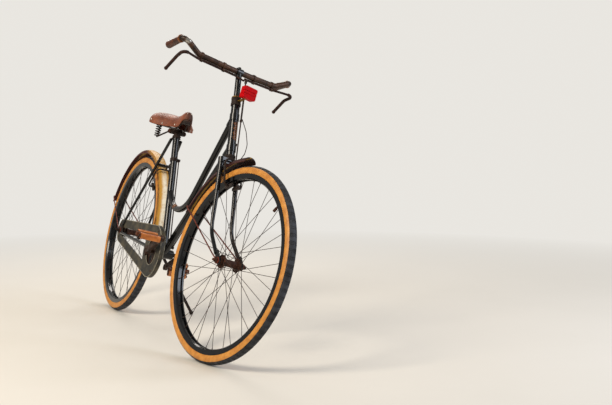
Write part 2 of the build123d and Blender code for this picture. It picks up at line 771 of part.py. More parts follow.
# Brake levers: long rods under the bar that bend back under the grips
lever_pieces = []
lever_brackets = []
clip_half = 4.5
clip_wall = 2.5
for side in (-1, 1):
    inner = bar_middle_half
    outer = bar_shoulder_half
    points = [
        axis_point(bar_at - 44, -104, side * (outer + 78)),
        axis_point(bar_at - 15, -38, side * (outer + 76)),
        axis_point(bar_at - 12, 15, side * (outer + 81)),
        axis_point(bar_shoulder_at - lever_below, bar_shoulder_ahead, side * outer),
        axis_point(bar_at - lever_below, bar_ahead, side * inner),
        axis_point(bar_at - lever_below - 2, bar_ahead + 2, side * 26)]
    lever = bent_rod(points, [45, 17, 40, 60], lever_radius)
    knob = Pos(points[0]) * Sphere(lever_radius + 1)
    arm = rod(points[-1] + Vector(0, side, 0),
              axis_point(rod_head_at - 4, rod_head_ahead - 5, front_rod_left + side * 6), 3.5)
    lever = lever + knob + arm
    lever_pieces.append(lever.solid())
    # Clips hang the lever's straight run under the bar's straight run
    bar_run = [axis_point(bar_at, bar_ahead, side * inner),
               axis_point(bar_shoulder_at, bar_shoulder_ahead, side * outer)]
    rod_run = [points[4], points[3]]
    for share in (0.16, 0.9):
        spots = []
        rings = []
        bores = []
        for run, radius in ((bar_run, bar_radius), (rod_run, lever_radius)):
            spot = along(run[0], run[1], share)
            half = (run[1] - run[0]).normalized() * clip_half
            spots.append(spot)
            rings.append(rod(spot - half, spot + half, radius + clip_wall))
            bores.append(rod(spot - half * 2, spot + half * 2, radius + fit_gap))
        clip = rings[0] + rings[1] + rod(spots[0], spots[1], 3.5)
        lever_brackets.append(cut(clip, *bores).solid())
add("brake_levers", "fork", *lever_pieces)
add("lever_brackets", "fork", *lever_brackets)


def stirrup(centre, angle):
    # A bow over the guard with a leg down each side to a brake block
    low = rim_bed_radius - 6 - pad_gap - pad_deep / 2
    right = [polar(centre, low, angle, -pad_out + 2), polar(centre, low, angle, -stirrup_half),
             polar(centre, stirrup_reach, angle, -stirrup_half)]
    left = [Vector(spot.X, -spot.Y, spot.Z) for spot in reversed(right)]
    bow = bent_rod(right + left, [12, 22, 22, 12], stirrup_radius)
    pads = []
    for side in (-1, 1):
        middle = polar(centre, low, angle, side * (pad_out + pad_in) / 2)
        block = Location(Plane(origin=middle, x_dir=(0, 1, 0),
                               z_dir=middle - Vector(centre.X, middle.Y, centre.Z))) * Box(
            pad_out - pad_in, pad_length, pad_deep)
        pads.append((block - bow).solid())
    return bow, pads


front_bow, front_pads = stirrup(front_centre, front_brake_angle)
rear_bow, rear_pads = stirrup(rear_centre, rear_brake_angle)
add("front_stirrup", "fork", front_bow)
add("front_brake_blocks", "fork", *front_pads)
add("rear_stirrup", "root", rear_bow)
add("rear_brake_blocks", "root", *rear_pads)

# Front brake rod: from the levers' arms down to the bow
bow_top = polar(front_centre, stirrup_reach, front_brake_angle, front_rod_left)
rod_top = axis_point(rod_head_at, rod_head_ahead, front_rod_left)
front_rod = rod(bow_top, rod_top, brake_rod_radius) + rod(
    axis_point(rod_head_at - 14, rod_head_ahead - 0.5, front_rod_left),
    axis_point(rod_head_at - 2, rod_head_ahead, front_rod_left), 5.0)
front_rod = cut(front_rod, front_bow, *lever_pieces).solid()

# Rear brake rods: down beside the down tube, and up beside the seat tube
down_run = (axis_point(down_tube_at) - crank_centre).normalized()
pull_top = axis_point(down_tube_at + 20) + Vector(-10, side_rod_left, 0)
pull_low = crank_centre + down_run * 45 + Vector(0, side_rod_left, 0)
push_low = seat_point(42, 8, side_rod_left)
rocker_at = seat_tube_length - rocker_below
push_top = seat_point(rocker_at - 1, 8, side_rod_left)
pull_rod = rod(pull_top, pull_low, brake_rod_radius)
push_rod = rod(push_low, push_top, brake_rod_radius)
crank_plate = (rod(pull_low + Vector(0, -3, 0), pull_low + Vector(0, 5, 0), 6)
               + rod(push_low + Vector(0, -3, 0), push_low + Vector(0, 5, 0), 6)
               + rod(pull_low + Vector(0, 4, 0), push_low + Vector(0, 4, 0), 3.5))
crank_plate = cut(crank_plate, pull_rod, push_rod, seat_outer, down_outer)
rocker_ring = rod(seat_point(rocker_at - 7), seat_point(rocker_at + 7), main_radius + 2.5) - seat_outer
bow_crown = polar(rear_centre, stirrup_reach, rear_brake_angle)
rocker_eye = rod(seat_point(rocker_at, 8, main_radius + 1),
                 seat_point(rocker_at, 8, side_rod_left + 5), 6)
rocker = (rocker_ring + rocker_eye
          + rod(seat_point(rocker_at, -main_radius - 1), bow_crown, 3.0)
          + rod(seat_point(rocker_at, main_radius + 1), seat_point(rocker_at + 2, main_radius + 14), 3.5))
rocker = cut(rocker, push_rod, rear_bow, seat_outer)
head_eye = rod(pull_top + Vector(0, -6, 0), pull_top + Vector(0, 5, 0), 6)
head_eye = cut(head_eye, pull_rod, head_outer, down_outer)
add("rear_brake_rods", "root", pull_rod, push_rod)
add("rear_brake_pivots", "root", *crank_plate.solids(), *rocker.solids(), *head_eye.solids())

# Lamp and its bracket
lamp_plane = Plane(origin=axis_point(lamp_at, lamp_ahead, lamp_left), x_dir=(0, 1, 0),
                   z_dir=steer_ahead)
lamp_place = Location(lamp_plane) * Rot(lamp_tip, 0, 0) * Rot(0, 0, -lamp_roll)
lamp = extrude(RectangleRounded(lamp_width, lamp_height, 6), lamp_deep / 2, both=True).solid()
for height, wide in ((0.12, 2.0), (-0.12, 1.2)):
    # Two grooves run round the front between the lens halves
    groove = Pos(0, height * lamp_height, lamp_deep / 2) * Box(lamp_width + 2, wide, lamp_deep)
    core = Box(lamp_width - 4, lamp_height, lamp_deep - 4)
    lamp = lamp - (groove - core)
lamp = (lamp_place * lamp).solid()
add("lamp", "fork", lamp)
strap_left = front_rod_left - brake_rod_radius - 0.5 - lamp_strap_width / 2
strap_plane = Plane(origin=axis_point(lamp_at - 20, 0, strap_left), x_dir=(0, 1, 0),
                    z_dir=steer_ahead)
strap = extrude(strap_plane * Rectangle(lamp_strap_width, 3), lamp_ahead).solid()
strap = cut(strap, lamp, rod(axis_point(head_high + 9.3), axis_point(head_high + 24), cup_out - 1))
strap = max(strap.solids(), key=lambda one: one.center().X)
add("lamp_bracket", "fork", strap)

# Loose wire beside the head
wire_radius = 1.5
wire_left = front_rod_left + brake_rod_radius + wire_radius + 0.3
wire_points = [axis_point(565, 30.7, wire_left), axis_point(520, 36, 34), axis_point(470, 35, 46),
               axis_point(436, 27, 44), axis_point(crown_at + crown_height + 1, 8, 34)]
add("front_brake_rods", "fork", front_rod, bent_rod(wire_points, [40, 60, 30], wire_radius))

# Seat pillar, collar and saddle
pillar_top = seat_point(seat_tube_length + 22)
pillar = rod(seat_point(seat_tube_length - pillar_depth), pillar_top, pillar_radius)
saddle_top = pillar_top.Z + saddle_rise
saddle_middle = pillar_top.X - saddle_set_back
rail_radius = 3.5
plate_low = saddle_top - saddle_skirt + 3
plate_wall = 3.0
rails = []
springs = []
back = saddle_middle - saddle_length / 2
front = saddle_middle + saddle_length / 2
for side in (-1, 1):
    rails.append(bent_rod([
        Vector(back + 38, side * 48, saddle_top - 112),
        Vector(pillar_top.X - 14, side * 24, pillar_top.Z + 4),
        Vector(pillar_top.X + 26, side * 22, pillar_top.Z + 6),
        Vector(front - 34, side * 12, saddle_top - 42)], [40, 40], rail_radius))
    foot = Vector(back + 38, side * 48, saddle_top - 108)
    springs.append(rod(foot, Vector(foot.X, foot.Y, plate_low), 13.0))
    springs[-1] = cut(springs[-1], rails[-1]).solid()
head_clamp = rod(pillar_top - Vector(0, 32, 0), pillar_top + Vector(0, 32, 0), 11.0)
pillar = (pillar + head_clamp)
pillar = cut(pillar, *rails).solid()
add("seat_pillar", "root", pillar)
collar = rod(seat_point(seat_tube_length - 8), seat_point(seat_tube_length + 4), main_radius + 3)
ear = rod(seat_point(seat_tube_length - 2, -main_radius - 5, -11),
          seat_point(seat_tube_length - 2, -main_radius - 5, 11), 5)
collar = cut(collar + ear, seat_outer, pillar, *seat_stays)
add("seat_collar", "root", *collar.solids())
add("saddle_springs", "root", *springs)


def saddle_body(inset, floor):
    # A pear-shaped plan, a dipped side view and a crowned back view, all at once
    half = saddle_width / 2 - inset
    rear = back + inset
    nose = front - inset
    tip = 23.0 - inset
    plan = (ThreePointArc((rear + 28, -half + 8), (rear, 0), (rear + 28, half - 8))
            + ThreePointArc((rear + 28, half - 8), (rear + 72, half - 4), (rear + 118, half * 0.68))
            + ThreePointArc((rear + 118, half * 0.68), (rear + 160, half * 0.40), (rear + 210, tip + 6))
            + Line((rear + 210, tip + 6), (nose - 16, tip))
            + ThreePointArc((nose - 16, tip), (nose, 0), (nose - 16, -tip))
            + Line((nose - 16, -tip), (rear + 210, -tip - 6))
            + ThreePointArc((rear + 210, -tip - 6), (rear + 160, -half * 0.40), (rear + 118, -half * 0.68))
            + ThreePointArc((rear + 118, -half * 0.68), (rear + 72, -half + 4), (rear + 28, -half + 8)))
    top = saddle_top - inset
    plan_body = extrude(Pos(0, 0, floor) * make_face(plan), saddle_top - floor + 20)
    side_plane = Plane(origin=(0, -saddle_width, 0), x_dir=(1, 0, 0), z_dir=(0, -1, 0))
    side_line = (ThreePointArc((back, top - 16), (back + 26, top), (back + 70, top - 3))
                 + ThreePointArc((back + 70, top - 3), (back + 150, top - 12), (front - 40, top - 1))
                 + ThreePointArc((front - 40, top - 1), (front - 14, top - 1), (front, top - 10))
                 + Line((front, top - 10), (front, floor)) + Line((front, floor), (back, floor))
                 + Line((back, floor), (back, top - 16)))
    side_body = extrude(side_plane * make_face(side_line), -2 * saddle_width)
    back_plane = Plane(origin=(back - 10, 0, 0), x_dir=(0, 1, 0), z_dir=(1, 0, 0))
    wide = saddle_width / 2 + 5
    back_line = (ThreePointArc((-wide, top - 34), (0, top + 6), (wide, top - 34))
                 + Line((wide, top - 34), (wide, floor)) + Line((wide, floor), (-wide, floor))
                 + Line((-wide, floor), (-wide, top - 34)))
    back_body = extrude(back_plane * make_face(back_line), saddle_length + 20)
    return (plan_body & side_body & back_body)


saddle_floor = saddle_top - saddle_skirt
nose_floor = saddle_top - nose_skirt
leather = saddle_body(0.0, saddle_floor) - saddle_body(saddle_wall, saddle_floor - 10)
# The skirt's lower edge sweeps up from the wings to the nose
edge_line = (Line((back + 70, saddle_floor - 1), (back + 96, saddle_floor + 2))
             + ThreePointArc((back + 96, saddle_floor + 2), (back + 150, nose_floor - 5),
                             (front - 60, nose_floor))
             + Line((front - 60, nose_floor), (front + 5, nose_floor + 2))
             + Line((front + 5, nose_floor + 2), (front + 5, saddle_floor - 1))
             + Line((front + 5, saddle_floor - 1), (back + 70, saddle_floor - 1)))
edge_plane = Plane(origin=(0, -saddle_width, 0), x_dir=(1, 0, 0), z_dir=(0, -1, 0))
leather = leather - extrude(edge_plane * make_face(edge_line), -2 * saddle_width)
add("saddle_leather", "root", leather.solid())
inside = saddle_body(saddle_wall + 0.3, saddle_floor)
plate = inside & Pos(back + 28, 0, plate_low + plate_wall / 2) * Box(56, saddle_width, plate_wall)
nose_block = inside & Pos(front - 28, 0, saddle_top - 40) * Box(44, saddle_width, 14)
add("saddle_frame", "root", (rails[0] + rails[1] + nose_block.solid()).solid(), plate.solid())

# Side stand: a clamp on the left chain stay, and a leg that swings back and up
stay_start, stay_end = stay_ends[1]
share = (stay_start.X - stand_forward) / (stay_start.X - stay_end.X)
on_stay = along(stay_start, stay_end, share)
stand_pivot = on_stay + Vector(0, stand_beside, -stand_below)
foot_place = (stance.inverse() * Pos(stand_foot_forward, stand_foot_out, stand_foot_radius))
stand_foot = foot_place.position
leg_down = (stand_foot - stand_pivot).normalized()
leg_up = Vector(-0.99, 0.08, -0.02).normalized()
stand_axis = leg_down.cross(leg_up).normalized()
boss = rod(stand_pivot - stand_axis * 7, stand_pivot + stand_axis * 7, 10.0)
leg = rod(stand_pivot, stand_foot, stand_leg_radius) + Pos(stand_foot) * Sphere(stand_foot_radius)
pin_low = stand_pivot - stand_axis * 14
pin_high = stand_pivot + stand_axis * 7.3
pin = rod(pin_low, pin_high, 4.0) + rod(pin_high, pin_high + stand_axis * 4, 7.0)
bore = rod(pin_low, pin_high + stand_axis, 4.0 + fit_gap)
leg = (leg + boss - bore).solid()
add("stand_leg", "stand", leg)
stay_way = (stay_end - stay_start).normalized()
clamp_ring = rod(on_stay - stay_way * 16, on_stay + stay_way * 16, stay_radius + 2.5)
disc = rod(stand_pivot - stand_axis * 15, stand_pivot - stand_axis * 7.4, 11.0)
low_pivot = stand_pivot - stand_axis * 11.2
to_stay = on_stay - stand_pivot
to_stay = to_stay - stand_axis * to_stay.dot(stand_axis)
bracket = clamp_ring + disc + rod(low_pivot, low_pivot + to_stay, 3.4)
bracket = cut(bracket, chain_stays[1]) + pin
bracket = max(bracket.solids(), key=lambda one: one.volume)
add("stand_bracket", "root", bracket)

# The whole bicycle goes to its stance, centred over the floor
poses = {"fork": stance * steered, "front_wheel": stance * steered}
placed = {}
corners = []
for name, (body, solids) in nodes.items():
    pose = poses.get(body, stance)
    placed[name] = [pose * one for one in solids]
    for one in placed[name]:
        box = one.bounding_box()
        corners.append((box.min, box.max))
middle_x = (min(low.X for low, high in corners) + max(high.X for low, high in corners)) / 2
middle_y = (min(low.Y for low, high in corners) + max(high.Y for low, high in corners)) / 2
centring = Pos(-middle_x, -middle_y, 0)

os.makedirs("parts", exist_ok=True)
for name, solids in placed.items():
    moved = [centring * one for one in solids]
    export_step(moved[0] if len(moved) == 1 else Compound(moved), "parts/" + name + ".step")
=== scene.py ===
import json
import math
from functools import partial

import bpy
from mathutils import Matrix, Vector


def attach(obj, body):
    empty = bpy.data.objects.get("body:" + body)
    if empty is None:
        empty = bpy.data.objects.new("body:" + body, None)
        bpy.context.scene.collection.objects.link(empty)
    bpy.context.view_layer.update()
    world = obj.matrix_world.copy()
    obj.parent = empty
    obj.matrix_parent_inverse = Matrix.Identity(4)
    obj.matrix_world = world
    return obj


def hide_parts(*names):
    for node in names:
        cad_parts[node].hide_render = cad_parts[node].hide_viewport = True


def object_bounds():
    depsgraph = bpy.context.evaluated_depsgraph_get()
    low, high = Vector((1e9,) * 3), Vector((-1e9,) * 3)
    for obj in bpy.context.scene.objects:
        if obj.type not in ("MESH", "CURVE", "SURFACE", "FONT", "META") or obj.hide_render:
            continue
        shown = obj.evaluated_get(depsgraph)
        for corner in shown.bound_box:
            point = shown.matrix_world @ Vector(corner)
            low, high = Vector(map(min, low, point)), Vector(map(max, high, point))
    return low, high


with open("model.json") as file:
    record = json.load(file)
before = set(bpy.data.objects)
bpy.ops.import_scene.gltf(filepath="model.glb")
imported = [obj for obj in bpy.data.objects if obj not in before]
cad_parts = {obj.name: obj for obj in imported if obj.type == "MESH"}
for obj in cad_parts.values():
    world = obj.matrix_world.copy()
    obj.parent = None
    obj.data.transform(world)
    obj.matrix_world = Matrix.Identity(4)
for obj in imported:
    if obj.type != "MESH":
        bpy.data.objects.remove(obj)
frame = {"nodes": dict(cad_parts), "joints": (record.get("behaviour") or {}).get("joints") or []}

# An old loop-frame roadster bicycle with rod brakes, leaning on its side stand.
# New pieces are drawn upright, X forward, Y to the left, Z up, with the point
# under the rear axle at the origin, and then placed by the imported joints.
cadLow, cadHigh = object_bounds()

# The bicycle's own sizes, as the CAD has them. Here and below a size is in metres and
# an angle in degrees, unless a note says otherwise
bicycle = {
    "wheelRadius": 0.355,      # over the tyre
    "tyreRound": 0.020,        # the radius of its section
    "rimLip": 0.324,
    "rimBed": 0.309,
    "wheelbase": 1.170,
    "bracketForward": 0.494,   # the crank's centre
    "bracketHeight": 0.313,
    "seatAngle": 69.0,
    "forkOffset": 0.063,
    "crankLength": 0.170,
    "crankAngle": 21.7,
    "spokeCount": 36,
    "guardRadius": 0.386,      # of a mudguard, outside
    "guardHalf": 0.025,        # half its width
    "guardDepth": 0.019,
}


def jointFacts(name):
    found = next(joint for joint in frame["joints"] if joint["name"] == name)
    return Vector(found["pos_m"]), Vector(found["axis"]).normalized()


def columnsToMatrix(ahead, left, up, origin):
    turn = Matrix((ahead, left, up)).transposed().to_4x4()
    return Matrix.Translation(origin) @ turn


rearCentre, rearLeft = jointFacts("rear_wheel_spin")
frontCentre, frontLeft = jointFacts("front_wheel_spin")
steerUp = jointFacts("steering")[1]
bikeAhead = Vector((-rearLeft.z, 0, rearLeft.x)).normalized()
bikeUp = bikeAhead.cross(rearLeft)
headSlope = math.acos(-steerUp.dot(bikeAhead))     # the head's angle, from the joints
forkAhead = frontLeft.cross(steerUp)
wheelAhead = forkAhead * math.sin(headSlope) - steerUp * math.cos(headSlope)
wheelUp = steerUp * math.sin(headSlope) + forkAhead * math.cos(headSlope)
rootPlace = columnsToMatrix(bikeAhead, rearLeft, bikeUp,
                            rearCentre - bikeUp * bicycle["wheelRadius"])
forkPlace = columnsToMatrix(wheelAhead, frontLeft, wheelUp, frontCentre
                            - wheelAhead * bicycle["wheelbase"]
                            - wheelUp * bicycle["wheelRadius"])
placeOf = {"root": rootPlace, "rear_wheel": rootPlace, "crank": rootPlace,
           "pedal_right": rootPlace, "pedal_left": rootPlace, "stand": rootPlace,
           "fork": forkPlace, "front_wheel": forkPlace}

# The same places in the upright bicycle
rearHub = Vector((0, 0, bicycle["wheelRadius"]))
frontHub = Vector((bicycle["wheelbase"], 0, bicycle["wheelRadius"]))
crankCentre = Vector((bicycle["bracketForward"], 0, bicycle["bracketHeight"]))
columnUp = Vector((-math.cos(headSlope), 0, math.sin(headSlope)))
columnAhead = Vector((math.sin(headSlope), 0, math.cos(headSlope)))
columnFoot = frontHub - columnAhead * bicycle["forkOffset"]
seatSlope = math.radians(bicycle["seatAngle"])
seatUp = Vector((-math.cos(seatSlope), 0, math.sin(seatSlope)))
seatAhead = Vector((math.sin(seatSlope), 0, math.cos(seatSlope)))


def columnPoint(at, ahead=0.0, left=0.0):
    return columnFoot + columnUp * at + columnAhead * ahead + Vector((0, left, 0))


def seatPoint(at, ahead=0.0, left=0.0):
    return crankCentre + seatUp * at + seatAhead * ahead + Vector((0, left, 0))


def wheelPoint(centre, radius, angle, left=0.0):
    turn = math.radians(angle)
    return centre + Vector((radius * math.cos(turn), left, radius * math.sin(turn)))


print("frame loaded:", len(frame["nodes"]), "nodes")


# Small helpers for modelling by operators
def deselectAll():
    active = bpy.context.view_layer.objects.active
    if active is not None and active.mode != "OBJECT":
        bpy.ops.object.mode_set(mode="OBJECT")
    bpy.ops.object.select_all(action="DESELECT")


def activate(piece):
    deselectAll()
    piece.select_set(True)
    bpy.context.view_layer.objects.active = piece


def newest():
    return bpy.context.view_layer.objects.active


def leaveEdit():
    bpy.ops.object.mode_set(mode="OBJECT")


def choose(piece, kind, wanted):
    # Leaves the piece in edit mode with only the wanted faces or vertices selected. What
    # is wanted is asked of a face's centre or a vertex's place
    activate(piece)
    bpy.ops.object.mode_set(mode="EDIT")
    bpy.ops.mesh.select_mode(type=kind)
    bpy.ops.mesh.select_all(action="DESELECT")
    leaveEdit()
    if kind == "FACE":
        for face in piece.data.polygons:
            face.select = wanted(face.center)
    else:
        for vertex in piece.data.vertices:
            vertex.select = wanted(vertex.co)
    bpy.ops.object.mode_set(mode="EDIT")


def applyPlace(piece):
    activate(piece)
    bpy.ops.object.transform_apply(location=True, rotation=True, scale=True)


def setPlace(piece, matrix):
    # Moves the piece and keeps its place in its mesh
    piece.matrix_basis = matrix @ piece.matrix_basis
    applyPlace(piece)


def addModifier(piece, kind, **settings):
    activate(piece)
    modifier = piece.modifiers.new(kind.title(), kind)
    for key, value in settings.items():
        setattr(modifier, key, value)
    bpy.ops.object.modifier_apply(modifier=modifier.name)


def cleanUp(piece):
    # Doubles merged within a hundredth of a millimetre, and normals turned outwards
    activate(piece)
    bpy.ops.object.mode_set(mode="EDIT")
    bpy.ops.mesh.select_all(action="SELECT")
    bpy.ops.mesh.remove_doubles(threshold=0.00001)
    bpy.ops.mesh.normals_make_consistent(inside=False)
    leaveEdit()


def joinAll(pieces):
    deselectAll()
    for piece in pieces:
        piece.select_set(True)
    bpy.context.view_layer.objects.active = pieces[0]
    bpy.ops.object.join()
    return newest()


def finishPiece(piece, name, body, material, stands=(), smooth=35.0, placed=False):
    # The piece goes from the upright bicycle to its stance and rides on its body. Without
    # a material it keeps its own
    if not placed:
        setPlace(piece, placeOf[body])
    piece.name = name
    piece.data.name = name
    activate(piece)
    bpy.ops.object.shade_smooth_by_angle(angle=math.radians(smooth))
    if material is not None:
        piece.data.materials.clear()
        piece.data.materials.append(material)
    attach(piece, body)
    if stands:
        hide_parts(*stands)


def turnTo(direction):
    return direction.to_track_quat("Z", "Y").to_euler()


def barBetween(start, end, radius, sides=16, tip=None):
    # A round bar between two points, or a cone when the tip has its own radius
    run = end - start
    spot = (start + end) / 2
    bpy.ops.mesh.primitive_cone_add(vertices=sides, radius1=radius,
                                    radius2=radius if tip is None else tip,
                                    depth=run.length, location=spot, rotation=turnTo(run))
    piece = newest()
    applyPlace(piece)
    return piece


def nutAt(spot, direction, flats, height, bevel=0.0006):
    # A chamfered hexagon nut whose foot is at the spot
    piece = barBetween(spot, spot + direction.normalized() * height, flats / math.sqrt(3), 6)
    addModifier(piece, "BEVEL", width=bevel, segments=1, limit_method="ANGLE")
    return piece


def domeAt(spot, direction, radius, height, sides=16):
    # A flattened ball, half of which shows as the dome of a rivet or a bolt
    bpy.ops.mesh.primitive_uv_sphere_add(segments=sides, ring_count=8, radius=1.0)
    piece = newest()
    piece.scale = (radius, radius, height)
    piece.rotation_euler = turnTo(direction)
    piece.location = spot
    applyPlace(piece)
    return piece


def copyOf(piece):
    # A copy of a CAD node also loses what marks it as one
    activate(piece)
    bpy.ops.object.duplicate(linked=False)
    made = newest()
    made.parent = None
    for mark in [key for key in made.keys() if key.startswith("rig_")]:
        del made[mark]
    return made


def wireAlong(points, radius, sides, closed=False):
    # A thin bead or wire through points, made a mesh before it is placed
    curve = bpy.data.curves.new("wire", "CURVE")
    curve.dimensions = "3D"
    curve.bevel_depth = radius
    curve.bevel_resolution = sides
    curve.use_fill_caps = not closed
    spline = curve.splines.new("POLY")
    spline.points.add(len(points) - 1)
    for point, spot in zip(spline.points, points):
        point.co = (*spot, 1.0)
    spline.use_cyclic_u = closed
    piece = bpy.data.objects.new("wire", curve)
    bpy.context.scene.collection.objects.link(piece)
    activate(piece)
    bpy.ops.object.convert(target="MESH")
    return newest()


# Materials: what each surface is, and what that gives the eye
def hexToLinear(text):
    channels = [int(text[i:i + 2], 16) / 255 for i in (1, 3, 5)]
    return [channel / 12.92 if channel <= 0.04045 else ((channel + 0.055) / 1.055) ** 2.4
            for channel in channels] + [1.0]


def giveValue(socket, value):
    # A socket is linked, a hex colour is turned to linear, and any other value is set
    if isinstance(value, bpy.types.NodeSocket):
        socket.id_data.links.new(value, socket)
    else:
        socket.default_value = hexToLinear(value) if isinstance(value, str) else value


def setUp(node, settings):
    for key, value in settings.items():
        if hasattr(node, key):
            setattr(node, key, value)
        else:
            giveValue(node.inputs[key], value)


def addNode(tree, kind, *inputs, out=None, **settings):
    # The settings decide which sockets the node shows, and the inputs then fill those in
    # their order: for Map Range its value, the range it has and the range it gets
    node = tree.nodes.new("ShaderNode" + kind)
    setUp(node, settings)
    for socket, value in zip([one for one in node.inputs if one.enabled], inputs):
        giveValue(socket, value)
    return node.outputs[out] if out else next(one for one in node.outputs if one.enabled)


def startMaterial(name, *grains):
    # Each grain is a noise: its size in mm, its detail and how rough it is
    material = bpy.data.materials.new(name)
    material.use_nodes = True
    add = partial(addNode, material.node_tree)
    place = add("TexCoord", out="Object")
    noises = [add("TexNoise", place, 1000.0 / size, detail, rough)
              for size, detail, rough in grains]
    return material, material.node_tree.nodes["Principled BSDF"], add, place, noises


def nearSpot(add, place, spot, reach, soft):
    # 1 near a spot, fading to 0 over a soft edge
    distance = add("VectorMath", place, tuple(spot), operation="DISTANCE")
    return add("MapRange", distance, reach, reach + soft, 1.0, 0.0)


def stoveEnamel(name, patches=(), chips=0.70, dust=0.05, tint="#07080a"):
    # Black stoving enamel, dipped and baked on steel tube: a deep gloss that keeps a
    # sharp window of light, with a little grey dust and chips and rubbed spots of brown rust
    material, shader, add, place, noises = startMaterial(
        name, (38, 6, 0.55), (5, 8, 0.7), (3, 5, 0.55), (14, 5, 0.55))
    dusty, chipped, browned, polished = noises
    dustMask = add("MapRange", dusty, 0.45, 0.75, 0.0, dust)
    paint = add("Mix", dustMask, tint, "#4d4a44", data_type="RGBA")
    rustMask = add("MapRange", chipped, chips, chips + 0.03)
    for spot, reach, soft in patches:
        near = nearSpot(add, place, spot, reach, soft)
        spread = add("Math", near, 0.62, operation="MULTIPLY")
        grain = add("TexNoise", place, 1000.0 / 9, 7, 0.65)
        ragged = add("Math", grain, 0.55, spread, operation="MULTIPLY_ADD")
        patch = add("MapRange", ragged, 0.60, 0.66)
        rustMask = add("Math", rustMask, patch, operation="MAXIMUM")
    brown = add("MapRange", browned, 0.35, 0.65)
    rust = add("Mix", brown, "#3c2213", "#83522a", data_type="RGBA")
    gloss = add("MapRange", polished, 0.3, 0.7, 0.12, 0.26)
    matt = add("Math", rustMask, 0.8, operation="MULTIPLY")
    height = add("Math", 1.0, rustMask, operation="SUBTRACT")
    setUp(shader, {
        "Base Color": add("Mix", rustMask, paint, rust, data_type="RGBA"),
        "Roughness": add("Math", gloss, matt, operation="MAXIMUM"),
        "Normal": add("Bump", Height=height, Distance=0.0002),
        "Specular IOR Level": 0.22,
        "Coat Weight": 0.3,
        "Coat Roughness": 0.05,
    })
    return material


def weathered(name, first, second, coarseGrain, fineGrain, weight, tone, gloss, depth):
    # What the plainer finishes share: a coarse noise, with a share of a fine one, spreads
    # two colours, and the fine one alone varies the gloss and the relief
    material, shader, add, place, noises = startMaterial(name, coarseGrain, fineGrain)
    coarse, fine = noises
    both = add("Math", fine, weight, coarse, operation="MULTIPLY_ADD") if weight else coarse
    base = add("Mix", add("MapRange", both, *tone), first, second, data_type="RGBA")
    setUp(shader, {
        "Base Color": base,
        "Roughness": add("MapRange", fine, 0.3, 0.7, *gloss),
        "Normal": add("Bump", Height=fine, Distance=depth),
    })
    return material, shader, add, place, noises, base


def rustedSteel(name, dark, light, bare=0.0):
    # Mild steel left bare outdoors: brown rust in coarse and fine grain, dull all over,
    # with some grey metal where a part is rubbed
    material, shader, add, place, _, base = weathered(
        name, dark, light, (16, 6, 0.6), (2.4, 6, 0.7), 1.0, (0.8, 1.25), (0.55, 0.85), 0.0003)
    setUp(shader, {"Specular IOR Level": 0.25})
    if bare > 0:
        rubbed = add("TexNoise", place, 1000.0 / 11, 4, 0.55)
        bright = add("MapRange", rubbed, 0.56, 0.64, 0.0, bare)
        setUp(shader, {
            "Base Color": add("Mix", bright, base, "#8f8b86", data_type="RGBA"),
            "Metallic": add("Math", bright, 0.9, operation="MULTIPLY"),
        })
    return material


def wheelFrame(add, place, body):
    # Object coordinates turned so that the wheel's middle is the origin and Y its axle
    centre = placeOf[body] @ (frontHub if body == "fork" else rearHub)
    shifted = add("VectorMath", place, tuple(centre), operation="SUBTRACT")
    return [add("VectorMath", shifted, tuple(row), operation="DOT_PRODUCT")
            for row in placeOf[body].to_3x3().inverted()]


def guardEnamel(name, body, look):
    # Pressed sheet steel in old satin enamel: a light band along the crown, painted near
    # white at its low end as a painted highlight, and gilt above, on deeper flanks, with
    # maroon rust in spots, at the edges and over one end
    material, shader, add, place, noises = startMaterial(name, (22, 6, 0.62), (4, 7, 0.68))
    coarse, fine = noises
    ahead, left, up = wheelFrame(add, place, body)
    angle = add("Math", up, ahead, operation="ARCTAN2")
    aside = add("Math", left, operation="ABSOLUTE")
    # The end's rust reaches further round on the flanks than on the crown
    reach = add("Math", aside, 26.0, angle, operation="MULTIPLY_ADD")
    endMask = add("MapRange", reach, *[math.radians(turn) for turn in look["rustTurns"]])
    edgeMask = add("MapRange", aside, look["edgeAt"] - 0.003, look["edgeAt"] + 0.003)
    broken = add("MapRange", coarse, 0.36, 0.54, 0.35, 1.0)
    grain = add("Math", coarse, fine, operation="ADD")
    spotMask = add("MapRange", grain, look["spotsAbove"], look["spotsAbove"] + 0.14)
    rusted = add("Math", edgeMask, broken, operation="MULTIPLY")
    for mask in (endMask, spotMask):
        rusted = add("Math", rusted, mask, operation="MAXIMUM")
    wander = 0.006     # of the bleached band's edge
    ragged = add("Math", coarse, wander, aside, operation="MULTIPLY_ADD")
    crownEdge = look["crownHalf"] + wander / 2
    # Below 40 degrees up, the crown keeps its low colour: on the rear guard that near white is a
    # painted highlight
    layers = [
        (add("MapRange", angle, math.radians(40), math.radians(58)), look["crownHigh"]),
        (add("MapRange", ragged, crownEdge - look["crownSoft"], crownEdge + look["crownSoft"]),
         look["flank"]),
        (add("MapRange", coarse, 0.45, 0.75, 0.0, 0.6), look["flank"]),
        (rusted, add("Mix", fine, "#260b09", "#5c2215", data_type="RGBA")),
    ]
    colour = look["crownLowPaintAndHighlight"]
    for mask, over in layers:
        colour = add("Mix", mask, colour, over, data_type="RGBA")
    height = add("Math", rusted, fine, operation="MULTIPLY")
    setUp(shader, {
        "Base Color": colour,
        "Roughness": add("MapRange", rusted, 0.0, 1.0, 0.46, 0.66),
        "Normal": add("Bump", Height=height, Distance=0.0006),
        "Specular IOR Level": 0.3,
    })
    return material


def caseEnamel(name):
    # Thin sheet steel in olive black paint: dull, scraped light by shoes along its flat
    material, shader, add, _, noises, paint = weathered(
        name, "#14130d", "#2c2a20", (46, 6, 0.62), (3, 6, 0.7), 0, (0.35, 0.65), (0.42, 0.7),
        0.00018)
    both = add("Math", *noises, operation="ADD")
    worn = add("MapRange", both, 0.98, 1.2, 0.0, 0.45)
    setUp(shader, {"Base Color": add("Mix", worn, paint, "#75684d", data_type="RGBA")})
    return material


